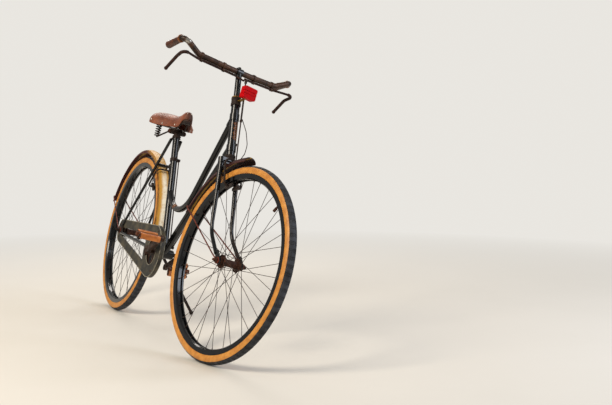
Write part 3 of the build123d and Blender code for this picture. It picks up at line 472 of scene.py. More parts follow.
def tarnishedBar(name, platingHighlightSpot):
    # Plated tube whose nickel has gone: dark brown, satin, with lighter worn lengths
    # and one bend where bright plating is painted in, which also stands for a painted highlight
    material, shader, add, place, noises = startMaterial(name, (30, 7, 0.65), (3, 7, 0.7))
    cloud, grit = noises
    worn = add("Math", grit, 0.6, cloud, operation="MULTIPLY_ADD")
    brown = add("Mix", add("MapRange", worn, 0.62, 1.0), "#120b09", "#5c3d29", data_type="RGBA")
    # The bright plated spot on the bend is placed as a painted highlight
    near = nearSpot(add, place, platingHighlightSpot, 0.005, 0.021)
    ragged = add("Math", grit, 0.5, near, operation="MULTIPLY_ADD")
    platedHighlight = add("MapRange", ragged, 0.82, 1.0)
    satin = add("MapRange", grit, 0.3, 0.7, 0.3, 0.62)
    polish = add("MapRange", platedHighlight, 0.0, 1.0, 1.0, 0.45)
    setUp(shader, {
        "Base Color": add("Mix", platedHighlight, brown, "#b3aea8", data_type="RGBA"),
        "Roughness": add("Math", satin, polish, operation="MULTIPLY"),
        "Metallic": add("MapRange", platedHighlight, 0.0, 1.0, 0.45, 1.0),
        "Normal": add("Bump", Height=grit, Distance=0.0002),
    })
    return material


def gumRubber(name, pale, deep, grain):
    # Tan gum rubber, moulded: warm amber with darker ageing and a faint grain, which is
    # finer than a millimetre in life and is drawn coarser so that it shows
    return weathered(name, pale, deep, (26, 6, 0.6), (grain, 5, 0.6), 0.4, (0.55, 0.95),
                     (0.38, 0.58), 0.00015)[0]


def blackRubber(name, deep, pale):
    # Vulcanised black rubber bleached grey by the sun: matt, with road dust in its grain
    return weathered(name, deep, pale, (34, 6, 0.6), (1.8, 5, 0.7), 0, (0.35, 0.65),
                     (0.6, 0.85), 0.0002)[0]


def saddleHide(name, nose):
    # Thick moulded cowhide, rubbed to a red brown: creases, paler worn patches, painted
    # shade that darkens the nose, and a waxed sheen. Its pores are drawn at 1.6 mm, coarser than real
    # ones
    material, shader, add, place, noises = startMaterial(name, (7, 8, 0.72), (60, 5, 0.55))
    crease, cloud = noises
    pores = add("TexVoronoi", place, 1000.0 / 1.6)
    worn = add("Math", crease, 0.5, cloud, operation="MULTIPLY_ADD")
    hide = add("Mix", add("MapRange", worn, 0.55, 0.95), "#502211", "#924f31", data_type="RGBA")
    # Darker round the nose: painted shade
    near = nearSpot(add, place, nose, 0.010, 0.030)
    noseShade = add("Math", near, 0.8, operation="MULTIPLY")
    grain = add("Bump", Height=pores, Distance=0.00035)
    setUp(shader, {
        "Base Color": add("Mix", noseShade, hide, "#2c110a", data_type="RGBA"),
        "Roughness": add("MapRange", crease, 0.3, 0.7, 0.42, 0.62),
        "Normal": add("Bump", Height=crease, Distance=0.0006, Normal=grain),
        "Sheen Weight": 0.04,
        "Specular IOR Level": 0.4,
    })
    return material


def plainFinish(name, dark, light, size, rough, metal=0.0, depth=0.0001, shine=0.4):
    # Shared by the small finishes, whose own lines say what they are
    material, shader, *_ = weathered(
        name, dark, light, (size, 6, 0.62), (size / 6, 5, 0.65), 1.0, (0.8, 1.2),
        (rough, rough + 0.22), depth)
    setUp(shader, {"Metallic": metal, "Specular IOR Level": shine})
    return material


# Where a finish has gone: each spot with its reach and its soft edge
headRust = [(rootPlace @ columnPoint(at, 0.015, 0.005), 0.004, 0.014)
            for at in (0.490, 0.508, 0.526, 0.544)]
loopRust = (rootPlace @ seatPoint(0.184, 0.0904, -0.002), 0.010, 0.020)
# The bar's bend, where bright plating is painted as a highlight
bendPlatingHighlight = forkPlace @ columnPoint(0.803, -0.001, -0.237)
# The saddle's nose, darkened by painted shade
saddleNoseShade = rootPlace @ Vector((0.414, 0.010, 0.890))
guardLooks = {
    "rear": {
        # Cream paint under a painted highlight, so near white
        "crownLowPaintAndHighlight": "#f3ead3",
        "crownHigh": "#b08530",
        "flank": "#c39038",
        "crownHalf": 0.0105,       # half of the light band
        "crownSoft": 0.0045,
        "spotsAbove": 1.17,        # a higher level gives fewer spots of rust
        "rustTurns": (108, 124),   # where the end's rust begins, and where it is full
        "edgeAt": 0.0225,          # the edge's rust, out from the middle
    },
    "front": {
        "crownLowPaintAndHighlight": "#b08530",
        "crownHigh": "#b08530",
        "flank": "#2b1311",
        "crownHalf": 0.0036,
        "crownSoft": 0.0012,
        "spotsAbove": 1.25,
        "rustTurns": (205, 225),   # past its end, so that it has none there
        "edgeAt": 0.0235,
    },
}
finishes = {
    "frame": stoveEnamel("frameEnamelStoved", headRust + [loopRust]),
    "fork": stoveEnamel("forkEnamelStoved", chips=0.69),
    "rim": stoveEnamel("rimEnamelStoved", chips=0.72, dust=0.02, tint="#050609"),
    # Turned steel without its paint: deep brown, dry and even
    "rust": rustedSteel("steelRustedBare", "#1a0f0b", "#563120"),
    # Forged steel with old grease in its rust: nearly black, with a few grey rubs
    "dark": rustedSteel("steelRustedDark", "#100c0a", "#33221a", 0.05),
    # Drawn wire: a thin grey brown rust that lets some metal through
    "spoke": rustedSteel("spokeWireRusted", "#181210", "#45322a", 0.1),
    # Drawn wire under the last of a maroon paint: red brown
    "stay": rustedSteel("stayWireRusted", "#3c1712", "#7c3624"),
    "rearGuard": guardEnamel("rearGuardSheetEnamelled", "root", guardLooks["rear"]),
    "frontGuard": guardEnamel("frontGuardSheetEnamelled", "fork", guardLooks["front"]),
    "case": caseEnamel("caseSheetSteelPainted"),
    "bar": tarnishedBar("barSteelTarnished", bendPlatingHighlight),
    # Forged rod, handled for years: a dark chocolate rust
    "lever": rustedSteel("leverSteelRusted", "#130907", "#3d1e13"),
    "sidewall": gumRubber("tyreSidewallGum", "#d9953c", "#a9641d", 2.0),
    "tread": blackRubber("tyreTreadVulcanised", "#17181c", "#353840"),
    "pedal": gumRubber("pedalBlockGum", "#cc7a34", "#8a4212", 1.5),
    # Old celluloid, moulded: dark treacle brown with amber showing where it is rubbed
    "grip": plainFinish("gripCelluloidMoulded", "#1d0b06", "#5e2f15", 20, 0.26),
    # Brass strip left outdoors: brown with a little yellow glint
    "brass": plainFinish("brassDulled", "#4a3312", "#b08a3a", 9, 0.34, 0.6),
    # Red polystyrene, moulded: an even strong red with a soft gloss
    "lamp": plainFinish("lampCasePlasticMoulded", "#b00006", "#c80009", 60, 0.36, depth=0.00001,
                        shine=0.05),
    # Cold-drawn wire in the case's paint: pale, a painted highlight, and rubbed where shoes catch it
    "edge": plainFinish("caseEdgeWornAndHighlight", "#4a463a", "#b8b09c", 16, 0.35),
    # Spun steel in amber lacquer: brown, with a soft gloss
    "ferrule": plainFinish("ferruleSteelLacquered", "#4a240e", "#8f5322", 8, 0.3),
    # Moulded block rubber with rust dust from the rims: a warm near black
    "brake": blackRubber("brakeBlockRubber", "#1a1412", "#3a2c25"),
    # Stamped plates under old oil: brown black, with bright steel where the cogs rub
    "chain": rustedSteel("chainSteelOiled", "#17120f", "#4d372a", 0.3),
    # Forged steel, once plated: dark brown with grey worn patches
    "crank": rustedSteel("crankSteelForged", "#16100d", "#43291c", 0.3),
    # Pressed steel that shoes keep rubbed: a lighter, warmer rust with the most grey
    "pedalSteel": rustedSteel("pedalSteelRusted", "#2b1710", "#7a4327", 0.4),
    # Steel rivets with their nickel still on: pale and bright
    "nickel": plainFinish("rivetNickelPlated", "#cfcabf", "#f4f0e6", 4, 0.2, 0.35),
    "hide": saddleHide("saddleCowhideMoulded", saddleNoseShade),
}
print("materials made:", len(finishes))

# Which of the CAD's nodes each finish goes on
nodeFinish = {
    "frame": ["head_tube", "seat_tube", "down_tube", "loop_tube", "head_lugs", "crank_shell",
              "chain_stays", "seat_stays", "stay_bridges", "stem"],
    "fork": ["fork_blades", "fork_crown"],
    "rim": ["front_rim", "rear_rim"],
    "rust": ["front_hub", "rear_hub", "front_axle"],
    "dark": ["rear_fork_ends", "saddle_frame", "saddle_springs", "seat_collar", "rear_axle",
             "rear_brake_pivots", "stand_bracket", "stand_leg", "rear_stirrup",
             "front_stirrup", "bearing_cups", "seat_pillar", "headset_races"],
    "brass": ["lamp_bracket"],
    "spoke": ["front_spokes", "rear_spokes", "rear_brake_rods", "front_brake_rods"],
    "stay": ["front_guard_stay", "rear_guard_stay"],
    "rearGuard": ["rear_mudguard"],
    "frontGuard": ["front_mudguard"],
    "case": ["chain_case"],
    "bar": ["handlebar", "lever_brackets"],
    "lever": ["brake_levers"],
    "crank": ["crank_arms", "crank_spindles", "chainring", "rear_sprocket"],
    "pedalSteel": ["pedal_right_frame", "pedal_left_frame"],
    "chain": ["chain"],
    "brake": ["front_brake_blocks", "rear_brake_blocks"],
    "tread": ["front_tyre", "rear_tyre"],
    "grip": ["grips"],
    "lamp": ["lamp"],
    "pedal": ["pedal_right_rubbers", "pedal_left_rubbers"],
    "hide": ["saddle_leather"],
}
for finish, names in nodeFinish.items():
    for name in names:
        slots = frame["nodes"][name].data.materials
        slots.clear()
        slots.append(finishes[finish])
print("solids dressed")


# Wheels: tyres with a ribbed tread, valves, nipples
tyre = {
    "sectionPoints": 40,
    "turns": 168,
    "lipGap": 0.0003,        # between the tyre and the rim's lip
    "treadAngle": 52.0,      # half of the tread, from straight outwards
    "grooveDepth": 0.965,    # of the section's radius
    "sipeEvery": 2,
    "sipeEdge": 0.0007,
    "sipeDepth": 0.0009,
    "smooth": 40.0,
}


def makeTyre(side, centre):
    # A round section with ribs, turned about the axle; the ribs get cross cuts
    ring = bicycle["wheelRadius"] - bicycle["tyreRound"]
    bpy.ops.mesh.primitive_circle_add(vertices=tyre["sectionPoints"], radius=bicycle["tyreRound"],
                                      location=(ring, 0, 0), rotation=(math.pi / 2, 0, 0))
    piece = newest()
    applyPlace(piece)
    lip = bicycle["rimLip"] + tyre["lipGap"]
    choose(piece, "VERT", lambda spot: spot.x < lip)
    bpy.ops.transform.resize(value=(0, 1, 1), center_override=(lip, 0, 0))
    leaveEdit()

    def isGroove(spot):
        turn = math.degrees(math.atan2(spot.z, spot.x - ring))
        return abs(turn) < tyre["treadAngle"] and round(turn / 360 * tyre["sectionPoints"]) % 2 == 1

    choose(piece, "VERT", isGroove)
    bpy.ops.transform.resize(value=(tyre["grooveDepth"],) * 3, center_override=(ring, 0, 0))
    bpy.ops.mesh.select_all(action="SELECT")
    bpy.ops.mesh.spin(steps=tyre["turns"], angle=2 * math.pi, center=(0, 0, 0), axis=(0, 0, 1))
    leaveEdit()
    cleanUp(piece)

    def onTread(spot):
        across = math.atan2(spot.z, math.hypot(spot.x, spot.y) - ring)
        return abs(math.degrees(across)) < tyre["treadAngle"]

    def isSipe(spot):
        turn = math.degrees(math.atan2(spot.y, spot.x)) % 360
        return onTread(spot) and int(turn / (360.0 / tyre["turns"])) % tyre["sipeEvery"] == 0

    piece.data.materials.append(finishes["sidewall"])
    piece.data.materials.append(finishes["tread"])
    for face in piece.data.polygons:
        face.material_index = 1 if onTread(face.center) else 0
    choose(piece, "FACE", isSipe)
    bpy.ops.mesh.inset(thickness=tyre["sipeEdge"], use_individual=True)
    bpy.ops.transform.shrink_fatten(value=-tyre["sipeDepth"])
    leaveEdit()
    # The drawing's Z is the axle, so it is turned to the left and set on the hub
    setPlace(piece, Matrix.Translation(centre) @ Matrix.Rotation(-math.pi / 2, 4, "X"))
    finishPiece(piece, side + "TyreRubber", side + "_wheel", None, [side + "_tyre"],
                tyre["smooth"])


for side, centre in (("front", frontHub), ("rear", rearHub)):
    makeTyre(side, centre)
print("tyres made")

fittings = {
    "hubSpread": 0.033,      # from the wheel's middle to a flange
    "holeRing": 0.021,       # the circle of the flange's holes
    "crossing": 6,           # holes from a spoke's nipple round to its head
    "flangeHalf": 0.0025,
    "headOut": 0.0016,       # of a leading spoke's head, over its flange
    "headIn": 0.0002,
    "headDome": (0.0022, 0.0014),
    "rimSpread": 0.003,      # of the nipples, to either side of the rim's middle
    "nippleLength": 0.011,
    "nippleRadius": 0.0021,
    "nippleTaper": 0.75,
    "valveAngle": {"front": 51.0, "rear": -36.0},
    "valveLength": 0.034,
    "valveRadius": 0.0040,
    "valveNut": (0.012, 0.004),
    "capRadius": 0.0052,
    "capRun": (-0.012, 0.002),    # from the stem's end
}


def makeNipples(side, centre):
    pieces = []
    step = 360.0 / bicycle["spokeCount"]
    for index in range(bicycle["spokeCount"]):
        flank = 1 if index % 2 else -1
        lead = 1 if (index // 2) % 2 else -1
        proud = fittings["headOut"] if lead > 0 else fittings["headIn"]
        out = flank * lead * (fittings["flangeHalf"] + proud)
        head = wheelPoint(centre, fittings["holeRing"],
                          (index + lead * fittings["crossing"]) * step,
                          flank * fittings["hubSpread"] + out)
        rim = wheelPoint(centre, bicycle["rimBed"] - 0.0003, index * step,
                         flank * fittings["rimSpread"])
        way = (head - rim).normalized()
        radius = fittings["nippleRadius"]
        pieces.append(barBetween(rim + way * 0.001, rim + way * fittings["nippleLength"],
                                 radius, 8, radius * fittings["nippleTaper"]))
        pieces.append(domeAt(head, Vector((0, out, 0)), *fittings["headDome"], 8))
    finishPiece(joinAll(pieces), side + "SpokeNipples", side + "_wheel", finishes["spoke"])


def makeValve(side, centre):
    # Stem, hexagon locknut on the rim and a cap with flats
    rim = wheelPoint(centre, bicycle["rimBed"] - 0.001, fittings["valveAngle"][side])
    way = (centre - rim).normalized()
    end = rim + way * fittings["valveLength"]
    pieces = [barBetween(rim, end, fittings["valveRadius"]),
              nutAt(rim + way * 0.0005, way, *fittings["valveNut"]),
              barBetween(*[end + way * along for along in fittings["capRun"]],
                         fittings["capRadius"], 14)]
    finishPiece(joinAll(pieces), side + "TyreValve", side + "_wheel", finishes["rust"])


for side, centre in (("front", frontHub), ("rear", rearHub)):
    makeNipples(side, centre)
    makeValve(side, centre)
print("nipples and valves made")

# The saddle: a thick hide moulded over its frame, open under the nose, on coil springs
saddle = {
    "back": 0.14297,         # ahead of the rear axle
    "top": 0.90567,
    "across": 44,            # faces over its section
    "thick": 0.0042,
    "springAt": (0.18097, 0.048),
    "springLow": 0.7965,
    "springHigh": 0.8470,
    "springRadius": 0.0104,
    "springWire": 0.0026,
    "springTurns": 5.5,
    "springSteps": 96,
    "springDead": 0.08,      # the share of it that lies flat at either end
    "springSmooth": 60.0,
    "smooth": 80.0,
    "rivetFlat": 2.2,        # a rivet's radius over its height
    # Sections in mm: from the back, ridge over the top's level, right and left half
    # widths, right and left depths under that level, and how boxy the section is
    "sections": (
        (0, -24, 0, 0, 50, 50, 2.6),
        (1.2, -17, 20, 20, 50, 50, 2.6),
        (4, -12, 37, 37, 51, 51, 2.7),
        (9, -7, 55, 55, 52, 52, 2.8),
        (16, -3, 72, 72, 54, 54, 2.8),
        (26, -0.5, 90, 90, 56, 56, 2.8),
        (40, 0, 99, 99, 58, 58, 2.7),
        (56, -1.5, 101, 101, 60, 60, 2.5),
        (72, -3.5, 98, 98, 62, 62, 2.35),
        (88, -6, 89, 90, 64, 64, 2.2),
        (104, -8.5, 76, 80, 65, 65, 2.1),
        (120, -10.5, 62, 69, 65, 66, 2.1),
        (136, -11.8, 50, 59, 65, 68, 2.1),
        (152, -12, 41, 51, 65, 70, 2.15),
        (168, -11, 34, 46, 65, 72, 2.2),
        (184, -9, 30, 43, 65, 73, 2.2),
        (200, -6, 27.5, 41, 65, 73, 2.25),
        (214, -2, 26, 38, 63, 70, 2.3),
        (226, 1.5, 25, 34, 58, 63, 2.35),
        (237, 4.5, 24.5, 30, 49, 52, 2.4),
        (247, 6.5, 23.5, 26, 40, 41, 2.45),
        (256, 6.5, 21.5, 22.5, 33, 33, 2.5),
        (263, 4, 18, 18, 28, 28, 2.5),
        (268.5, -1, 13, 13, 26, 26, 2.5),
        (272, -9, 6.5, 6.5, 25, 25, 2.5),
        (273, -12, 0, 0, 25, 25, 2.5),
    ),
    # Nickel rivets: section number, share of the way down the flank, radius in mm
    "rivets": ((7.6, 0.87, 4.6), (10.9, 0.91, 4.2), (15.3, 0.90, 3.6), (3.4, 0.72, 3.4),
               (1.6, 0.70, 3.4), (22.5, 0.35, 3.0)),
}


def hidePoint(number, share):
    # A point of the hide: share runs from -1 at its right edge to 1 at its left one
    before = saddle["sections"][int(number)]
    after = saddle["sections"][min(int(number) + 1, len(saddle["sections"]) - 1)]
    part = number - int(number)
    along, ridge, right, left, deepRight, deepLeft, boxy = [
        first + (last - first) * part for first, last in zip(before, after)]
    half, deep = (right, deepRight) if share < 0 else (left, deepLeft)
    turn = min(abs(share), 1.0) * math.pi / 2
    power = 2 / boxy
    across = math.copysign(half * math.sin(turn) ** power, share)
    rise = (ridge + deep) * max(math.cos(turn), 0.0) ** power - deep
    return Vector((saddle["back"] + along / 1000, across / 1000, saddle["top"] + rise / 1000))


def makeSaddle():
    # A grid drawn over the sections, closed at both ends, thickened and rounded
    count = len(saddle["sections"]) - 1
    bpy.ops.mesh.primitive_grid_add(x_subdivisions=count, y_subdivisions=saddle["across"], size=2)
    hide = newest()
    for vertex in hide.data.vertices:
        vertex.co = hidePoint(round((vertex.co.x + 1) / 2 * count), vertex.co.y)
    choose(hide, "VERT", lambda spot: True)
    bpy.ops.mesh.remove_doubles(threshold=0.00005)
    leaveEdit()
    addModifier(hide, "SOLIDIFY", thickness=saddle["thick"], offset=-1)
    addModifier(hide, "SUBSURF", levels=2, render_levels=2)
    finishPiece(hide, "saddleCowhide", "root", finishes["hide"],
                ["saddle_leather"], saddle["smooth"])


def makeRivets():
    domes = []
    for number, share, radius in saddle["rivets"]:
        for side in (-1, 1):
            spot = hidePoint(number, side * share)
            lengthways = hidePoint(number + 0.2, side * share) - hidePoint(number - 0.2, side * share)
            downward = hidePoint(number, side * (share + 0.02)) - spot
            domes.append(domeAt(spot, downward.cross(lengthways) * side, radius / 1000,
                                radius / 1000 / saddle["rivetFlat"], 14))
    finishPiece(joinAll(domes), "saddleRivets", "root", finishes["nickel"])


def makeSprings():
    # Coil springs, each flat for nearly half a turn at either end
    coils = []
    wire = saddle["springWire"]
    low = saddle["springLow"] + wire
    high = saddle["springHigh"] - wire
    for side in (1, -1):
        points = []
        for step in range(saddle["springSteps"] + 1):
            share = step / saddle["springSteps"]
            climb = (share - saddle["springDead"]) / (1 - 2 * saddle["springDead"])
            turn = share * saddle["springTurns"] * 2 * math.pi
            ahead, left = saddle["springAt"]
            points.append(Vector((ahead + saddle["springRadius"] * math.cos(turn),
                                  side * (left + saddle["springRadius"] * math.sin(turn)),
                                  low + (high - low) * min(max(climb, 0), 1))))
        coils.append(wireAlong(points, wire, 3))
    finishPiece(joinAll(coils), "saddleCoils", "root", finishes["dark"],
                ["saddle_springs"], saddle["springSmooth"])


makeSaddle()
makeRivets()
makeSprings()
print("saddle made")

# The chain: outer and inner links on a belt round the ring and the cog
chainFacts = {
    "links": 110,
    "left": -0.045,          # so it runs on the right side
    "ringRadius": 0.09298,
    "cogRadius": 0.03638,
    "plateHalf": 0.0040,
    "plateThick": 0.0009,
    "plateSides": 12,
    "innerAt": 0.0023,
    "outerAt": 0.0033,
    "rollerRadius": 0.0036,
    "rollerSides": 10,
    "pinRadius": 0.0019,
    "pinProud": 0.0009,      # beyond the outer plates' middle
    "pinSides": 8,
}


def evenSteps(rough, count):
    # The same line with its points at even steps
    runs = [(after - before).length for before, after in zip(rough, rough[1:])]
    step = sum(runs) / count
    points, walked, index = [], 0.0, 0
    for number in range(count):
        while walked + runs[index] < number * step:
            walked += runs[index]
            index += 1
        share = (number * step - walked) / runs[index]
        points.append(rough[index].lerp(rough[index + 1], share))
    return points


def beltLoop(big, small, left, count):
    # Even points on a belt round the crank's centre and the rear hub
    way = crankCentre - rearHub
    lean = math.degrees(math.acos((small - big) / way.length))
    start = math.degrees(math.atan2(way.z, way.x))
    rough = [wheelPoint(crankCentre, big, start - lean + 2 * lean * step / 180, left)
             for step in range(181)]
    rough += [wheelPoint(rearHub, small, start + lean + (360 - 2 * lean) * step / 180, left)
              for step in range(181)]
    return evenSteps(rough + rough[:1], count)


def makePlate(length, left):
    # One side plate: a disc pulled out to its other hole and given its thickness
    sides = chainFacts["plateSides"]
    bpy.ops.mesh.primitive_circle_add(vertices=sides, radius=chainFacts["plateHalf"],
                                      fill_type="NGON", rotation=(0, 0, math.pi / sides))
    plate = newest()
    applyPlace(plate)
    setPlace(plate, Matrix.Translation((0, left, 0)) @ Matrix.Rotation(math.pi / 2, 4, "X"))
    choose(plate, "VERT", lambda spot: spot.x > 0)
    bpy.ops.transform.translate(value=(length, 0, 0))
    leaveEdit()
    addModifier(plate, "SOLIDIFY", thickness=chainFacts["plateThick"], offset=0)
    return plate


def makeLink(length, at, radius, half, sides):
    # Two plates with a pin or a roller through both of their holes
    pieces = [makePlate(length, at), makePlate(length, -at)]
    for hole in (0, length):
        spot = Vector((hole, 0, 0))
        pieces.append(barBetween(spot - Vector((0, half, 0)), spot + Vector((0, half, 0)),
                                 radius, sides))
    return joinAll(pieces)


def makeChain():
    points = beltLoop(chainFacts["ringRadius"], chainFacts["cogRadius"], chainFacts["left"],
                      chainFacts["links"])
    length = (points[1] - points[0]).length
    outer = makeLink(length, chainFacts["outerAt"], chainFacts["pinRadius"],
                     chainFacts["outerAt"] + chainFacts["pinProud"], chainFacts["pinSides"])
    inner = makeLink(length, chainFacts["innerAt"], chainFacts["rollerRadius"],
                     chainFacts["innerAt"], chainFacts["rollerSides"])
    links = []
    for index, point in enumerate(points):
        onward = points[(index + 1) % len(points)] - point
        link = copyOf(inner if index % 2 else outer)
        setPlace(link, Matrix.Translation(point)
                 @ Matrix.Rotation(-math.atan2(onward.z, onward.x), 4, "Y"))
        links.append(link)
    for template in (outer, inner):
        activate(template)
        bpy.ops.object.delete()
    finishPiece(joinAll(links), "driveChain", "root", finishes["chain"], ["chain"])


makeChain()
print("chain made")

# Edges rolled over a wire: the chain case and both mudguards
trims = {
    "caseOuter": (0.1068, 0.0502),       # its belt's two radii
    "caseFaces": (-0.0541, -0.0379),     # to the left, so both are on the right side
    "caseSteps": 140,
    "caseWire": 0.0014,
    "frontEye": 0.0568,
    "eyeSteps": 72,
    "guardWire": 0.0017,
    "guardInset": (0.0006, 0.0003),      # out from the hub, and in from the edge
    "guardSpans": {"front": (98.5, 158.0), "rear": (-4.0, 161.0)},   # from straight ahead
    "edgeSteps": 70,
    "endSteps": 16,
    "smooth": 60.0,
}
# The beads wear the pale edge finish, a painted highlight
beads = [wireAlong(beltLoop(*trims["caseOuter"], left, trims["caseSteps"]), trims["caseWire"],
                   2, True) for left in trims["caseFaces"]]
eye = [wheelPoint(crankCentre, trims["frontEye"], 360 / trims["eyeSteps"] * step,
                  trims["caseFaces"][0]) for step in range(trims["eyeSteps"])]
beads.append(wireAlong(eye, trims["caseWire"], 2, True))
finishPiece(joinAll(beads), "caseEdgeBeads", "root", finishes["edge"],
            smooth=trims["smooth"])


def guardBead(side, centre, body):
    # One closed wire: along an edge, over the end, back along the other edge, and over
    outward, inward = trims["guardInset"]
    low = bicycle["guardRadius"] - bicycle["guardDepth"] + outward
    half = bicycle["guardHalf"] - inward
    start, end = trims["guardSpans"][side]
    points = []
    for edge, first, last in ((1, start, end), (-1, end, start)):
        for step in range(trims["edgeSteps"]):
            turn = first + (last - first) * step / trims["edgeSteps"]
            points.append(wheelPoint(centre, low, turn, edge * half))
        for step in range(trims["endSteps"]):
            arc = math.pi * step / trims["endSteps"]
            points.append(wheelPoint(centre, low + bicycle["guardDepth"] * math.sin(arc), last,
                                     edge * half * math.cos(arc)))
    finishPiece(wireAlong(points, trims["guardWire"], 2, True), side + "GuardBead", body,
                finishes[side + "Guard"], smooth=trims["smooth"])


guardBead("front", frontHub, "fork")
guardBead("rear", rearHub, "root")
print("rolled edges made")

# Nuts, bolts, pins and ferrules. A nut is its size across its flats and its height, and
# a dome its radius and how proud it stands. On the seat tube and the steering column a
# place is how far up it is, how far ahead and how far out
leftward = Vector((0, 1, 0))
hardware = {
    "pillarTop": 0.547,
    "saddleNut": (0.017, 0.007),
    "saddleNutOut": 0.0315,
    "saddleBolt": (0.0048, 0.004),
    "saddleBoltOut": 0.0385,
    "collarNut": (0.009, 0.004),
    "collarNutAt": (0.523, -0.0193, 0.0108),
    "stayNut": (0.008, 0.0035),
    "stayNutAt": (0.3705, 0.0252),        # from the hub, and out
    "stayTurns": {"rear": 158, "front": 155},
    "cotterAt": (-0.009, 0.0745),         # along the arm from its centre, and out
    "cotterHalf": 0.0205,
    "cotterRadius": 0.0042,
    "cotterNut": (0.011, 0.0055),
    "cotterNutIn": 0.006,                 # from the pin's end
    "pedalNut": (0.009, 0.004),
    "pedalNutAt": (0.023, 0.1725),        # from the pedal's middle, and out
    "pedalTurns": {"right": -12.0, "left": 105.0},
    "gripEnd": (0.824, -0.120, 0.247),
    "barTurn": (0.811, 0.002, 0.254),
    "gripLength": 0.092,
    "ferruleRun": (-0.003, 0.006),        # from the grip's mouth
    "ferruleRadius": 0.0150,
    "ferruleBevel": 0.0012,
    "caseScrew": (0.0045, 0.0018),
    "crankScrewsAt": (0.088, (72, -62)),  # the circle they stand on, and their angles
    "hubScrewsAt": (0.036, (125, -125)),
    "lockNut": (0.033, 0.0075),
    "lockNutAt": 0.6458,
    "stemBolt": (0.012, 0.0055),
    "stemBoltAt": 0.7762,
    "rodTop": (0.722, 0.036, 0.010),      # the front brake's rod, on the column
    "rodLow": (0.399, 114.0, 0.010),      # from the hub, its angle, and out
    "sleeveFrom": 0.02,
    "sleeveTo": 0.50,                     # of the rod's length
    "sleeveRadius": 0.0034,
    "sleeveNut": (0.009, 0.008),
    "lampRing": (0.6536, 0.6572, 0.0182),  # from, to and its radius
    "lampRingBevel": 0.0008,
}


def frameNuts():
    saddleEye = seatPoint(hardware["pillarTop"])
    up, ahead, aside = hardware["collarNutAt"]
    stayFrom, stayOut = hardware["stayNutAt"]
    pieces = []
    for side in (1, -1):
        out = leftward * side
        pieces += [
            nutAt(saddleEye + out * hardware["saddleNutOut"], out, *hardware["saddleNut"]),
            domeAt(saddleEye + out * hardware["saddleBoltOut"], out, *hardware["saddleBolt"], 12),
            nutAt(seatPoint(up, ahead, side * aside), out, *hardware["collarNut"]),
            nutAt(wheelPoint(rearHub, stayFrom, hardware["stayTurns"]["rear"], side * stayOut),
                  out, *hardware["stayNut"]),
        ]
    for centre, (ring, angles) in ((crankCentre, hardware["crankScrewsAt"]),
                                   (rearHub, hardware["hubScrewsAt"])):
        for angle in angles:
            pieces.append(domeAt(wheelPoint(centre, ring, angle, trims["caseFaces"][0]),
                                 -leftward, *hardware["caseScrew"]))
    finishPiece(joinAll(pieces), "frameFasteners", "root", finishes["rust"])


def forkNuts():
    # With them goes the sleeve of the front brake's rod, and the nut under it
    stayFrom, stayOut = hardware["stayNutAt"]
    pieces = []
    for side in (1, -1):
        spot = wheelPoint(frontHub, stayFrom, hardware["stayTurns"]["front"], side * stayOut)
        pieces.append(nutAt(spot, leftward * side, *hardware["stayNut"]))
    for name in ("lockNut", "stemBolt"):
        pieces.append(nutAt(columnPoint(hardware[name + "At"]), columnUp, *hardware[name]))
    rodTop = columnPoint(*hardware["rodTop"])
    run = wheelPoint(frontHub, *hardware["rodLow"]) - rodTop
    way = run.normalized()
    sleeveEnd = rodTop + run * hardware["sleeveTo"]
    pieces.append(barBetween(rodTop + way * hardware["sleeveFrom"], sleeveEnd,
                             hardware["sleeveRadius"], 14))
    pieces.append(nutAt(sleeveEnd, way, *hardware["sleeveNut"]))
    finishPiece(joinAll(pieces), "forkFasteners", "fork", finishes["dark"])


def crankPinsAndPedalNuts():
    behind, cotterOut = hardware["cotterAt"]
    half = hardware["cotterHalf"]
    spread, pedalOut = hardware["pedalNutAt"]
    pins = []
    for side, word, turn in ((1, "left", bicycle["crankAngle"] + 180),
                             (-1, "right", bicycle["crankAngle"])):
        middle = wheelPoint(crankCentre, behind, turn, side * cotterOut)
        across = wheelPoint(Vector(), 1.0, turn + 90)
        pins.append(barBetween(middle - across * half, middle + across * half,
                               hardware["cotterRadius"], 14))
        pins.append(nutAt(middle + across * (half - hardware["cotterNutIn"]), across,
                          *hardware["cotterNut"]))
        pedal = wheelPoint(crankCentre, bicycle["crankLength"], turn)
        nuts = [nutAt(wheelPoint(pedal, lead * spread, hardware["pedalTurns"][word],
                                 side * pedalOut), leftward * side, *hardware["pedalNut"])
                for lead in (1, -1)]
        finishPiece(joinAll(nuts), word + "PedalNuts", "pedal_" + word, finishes["crank"])
    finishPiece(joinAll(pins), "crankCotters", "crank", finishes["crank"])


def gripFerrules():
    pieces = []
    for side in (1, -1):
        gripEnd, barTurn = [columnPoint(up, ahead, side * out)
                            for up, ahead, out in (hardware["gripEnd"], hardware["barTurn"])]
        along = (barTurn - gripEnd).normalized()
        mouth = gripEnd + along * hardware["gripLength"]
        start, end = [mouth + along * step for step in hardware["ferruleRun"]]
        ferrule = barBetween(start, end, hardware["ferruleRadius"], 24)
        addModifier(ferrule, "BEVEL", width=hardware["ferruleBevel"], segments=2,
                    limit_method="ANGLE")
        pieces.append(ferrule)
    finishPiece(joinAll(pieces), "gripFerrules", "fork", finishes["ferrule"])


def lampRing():
    # The brass ring that holds the lamp's bracket to the steering column
    start, end, radius = hardware["lampRing"]
    ring = barBetween(columnPoint(start), columnPoint(end), radius, 28)
    addModifier(ring, "BEVEL", width=hardware["lampRingBevel"], segments=2, limit_method="ANGLE")
    finishPiece(ring, "lampBracketRing", "fork", finishes["brass"])


frameNuts()
forkNuts()
crankPinsAndPedalNuts()
gripFerrules()
lampRing()
print("fasteners made")

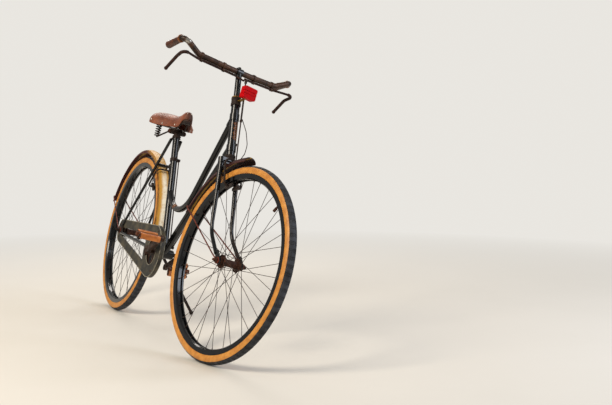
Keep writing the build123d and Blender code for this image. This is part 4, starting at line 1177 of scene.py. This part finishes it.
# The brake levers' handles are swelled from the CAD rod, as their cast ends are
lever = {
    "from": 0.236,           # out from the bicycle's middle
    "swell": 0.0018,
}
handles = copyOf(frame["nodes"]["brake_levers"])
cleanUp(handles)
upright = placeOf["fork"].inverted()
choose(handles, "VERT", lambda spot: abs((upright @ spot).y) > lever["from"])
bpy.ops.transform.shrink_fatten(value=lever["swell"])
leaveEdit()
finishPiece(handles, "leverHandles", "fork", finishes["lever"], ["brake_levers"],
            placed=True)
print("lever handles made")

# Camera, light and floor
camera = {
    "spot": (3.7918, -1.3702, 0.7871),
    "azimuth": 154.1,        # of the view's direction, from +X towards +Y
    "drop": 3.9,             # below the horizon
    "lens": 58.08,
    "sensor": 36.0,
}
azimuth = math.radians(camera["azimuth"])
drop = math.radians(camera["drop"])
sight = Vector((math.cos(azimuth) * math.cos(drop), math.sin(azimuth) * math.cos(drop),
                -math.sin(drop)))
lensData = bpy.data.cameras.new("photoView")
lensData.lens = camera["lens"]
lensData.sensor_width = camera["sensor"]
viewer = bpy.data.objects.new("photoView", lensData)
viewer.location = camera["spot"]
viewer.rotation_euler = sight.to_track_quat("-Z", "Y").to_euler()
bpy.context.scene.collection.objects.link(viewer)
bpy.context.scene.camera = viewer

# Soft boxes, each placed from the bicycle's middle: away from the camera, left of the
# line of sight and up. They point at that middle
softBoxes = {
    "keyBox": {"at": (-2.6, 2.4, 2.6), "size": (1.6, 1.6), "watts": 150, "colour": "#fff4e2"},
    "fillBox": {"at": (-1.0, -3.3, 1.2), "size": (1.2, 2.2), "watts": 55, "colour": "#e8f0ff"},
    "backBox": {"at": (3.0, 0.6, 2.6), "size": (2.4, 1.4), "watts": 70, "colour": "#fff8f0"},
}
up = Vector((0, 0, 1))
sightLeft = up.cross(sight).normalized()
objectMiddle = (cadLow + cadHigh) / 2
for name, box in softBoxes.items():
    data = bpy.data.lights.new(name, "AREA")
    data.shape = "RECTANGLE"
    data.size, data.size_y = box["size"]
    data.energy = box["watts"]
    data.color = hexToLinear(box["colour"])[:3]
    along, left, high = box["at"]
    lamp = bpy.data.objects.new(name, data)
    lamp.location = objectMiddle + sight * along + sightLeft * left + up * high
    lamp.rotation_euler = (objectMiddle - lamp.location).to_track_quat("-Z", "Y").to_euler()
    bpy.context.scene.collection.objects.link(lamp)

studio = {
    "air": "#f2efe9",
    "lightAir": 0.42,        # how strongly the air lights the bicycle
    "seenAir": 0.92,         # how bright it looks
    "mirroredAir": 0.12,     # and how far its reflections go from the one to the other
    "floor": 120.0,
    "floorDark": "#dad6ce",
    "floorLight": "#e2ded7",
    "fadeFrom": 1.2,
    "fadeTo": 4.2,
}
world = bpy.data.worlds.new("studioAir")
bpy.context.scene.world = world
world.use_nodes = True
add = partial(addNode, world.node_tree)
seen = add("LightPath", out="Is Camera Ray")
mirrored = add("LightPath", out="Is Glossy Ray")
faint = add("Math", mirrored, studio["mirroredAir"], operation="MULTIPLY")
share = add("Math", seen, faint, operation="MAXIMUM")
setUp(world.node_tree.nodes["Background"], {
    "Strength": add("MapRange", share, 0.0, 1.0, studio["lightAir"], studio["seenAir"]),
    "Color": studio["air"],
})

bpy.ops.mesh.primitive_plane_add(size=studio["floor"], location=(0, 0, 0))
floor = newest()
floor.name = "studioFloor"
# Matt emulsion on a smooth screed: pale warm grey that melts into the air far away,
# so that no horizon shows
material, shader, add, place, noises = startMaterial("floorPaintMatt", (700, 4, 0.55))
setUp(shader, {
    "Base Color": add("Mix", noises[0], studio["floorDark"], studio["floorLight"],
                      data_type="RGBA"),
    "Roughness": 0.9,
})
away = add("VectorMath", place, operation="LENGTH")
fade = add("MapRange", away, studio["fadeFrom"], studio["fadeTo"])
seen = add("LightPath", out="Is Camera Ray")
share = add("Math", fade, seen, operation="MULTIPLY")
glow = add("Emission", studio["air"], studio["seenAir"])
melt = add("MixShader", share, shader.outputs[0], glow)
setUp(material.node_tree.nodes["Material Output"], {"Surface": melt})
floor.data.materials.append(material)
bpy.context.scene.view_settings.view_transform = "Standard"
print("camera, light and floor set")
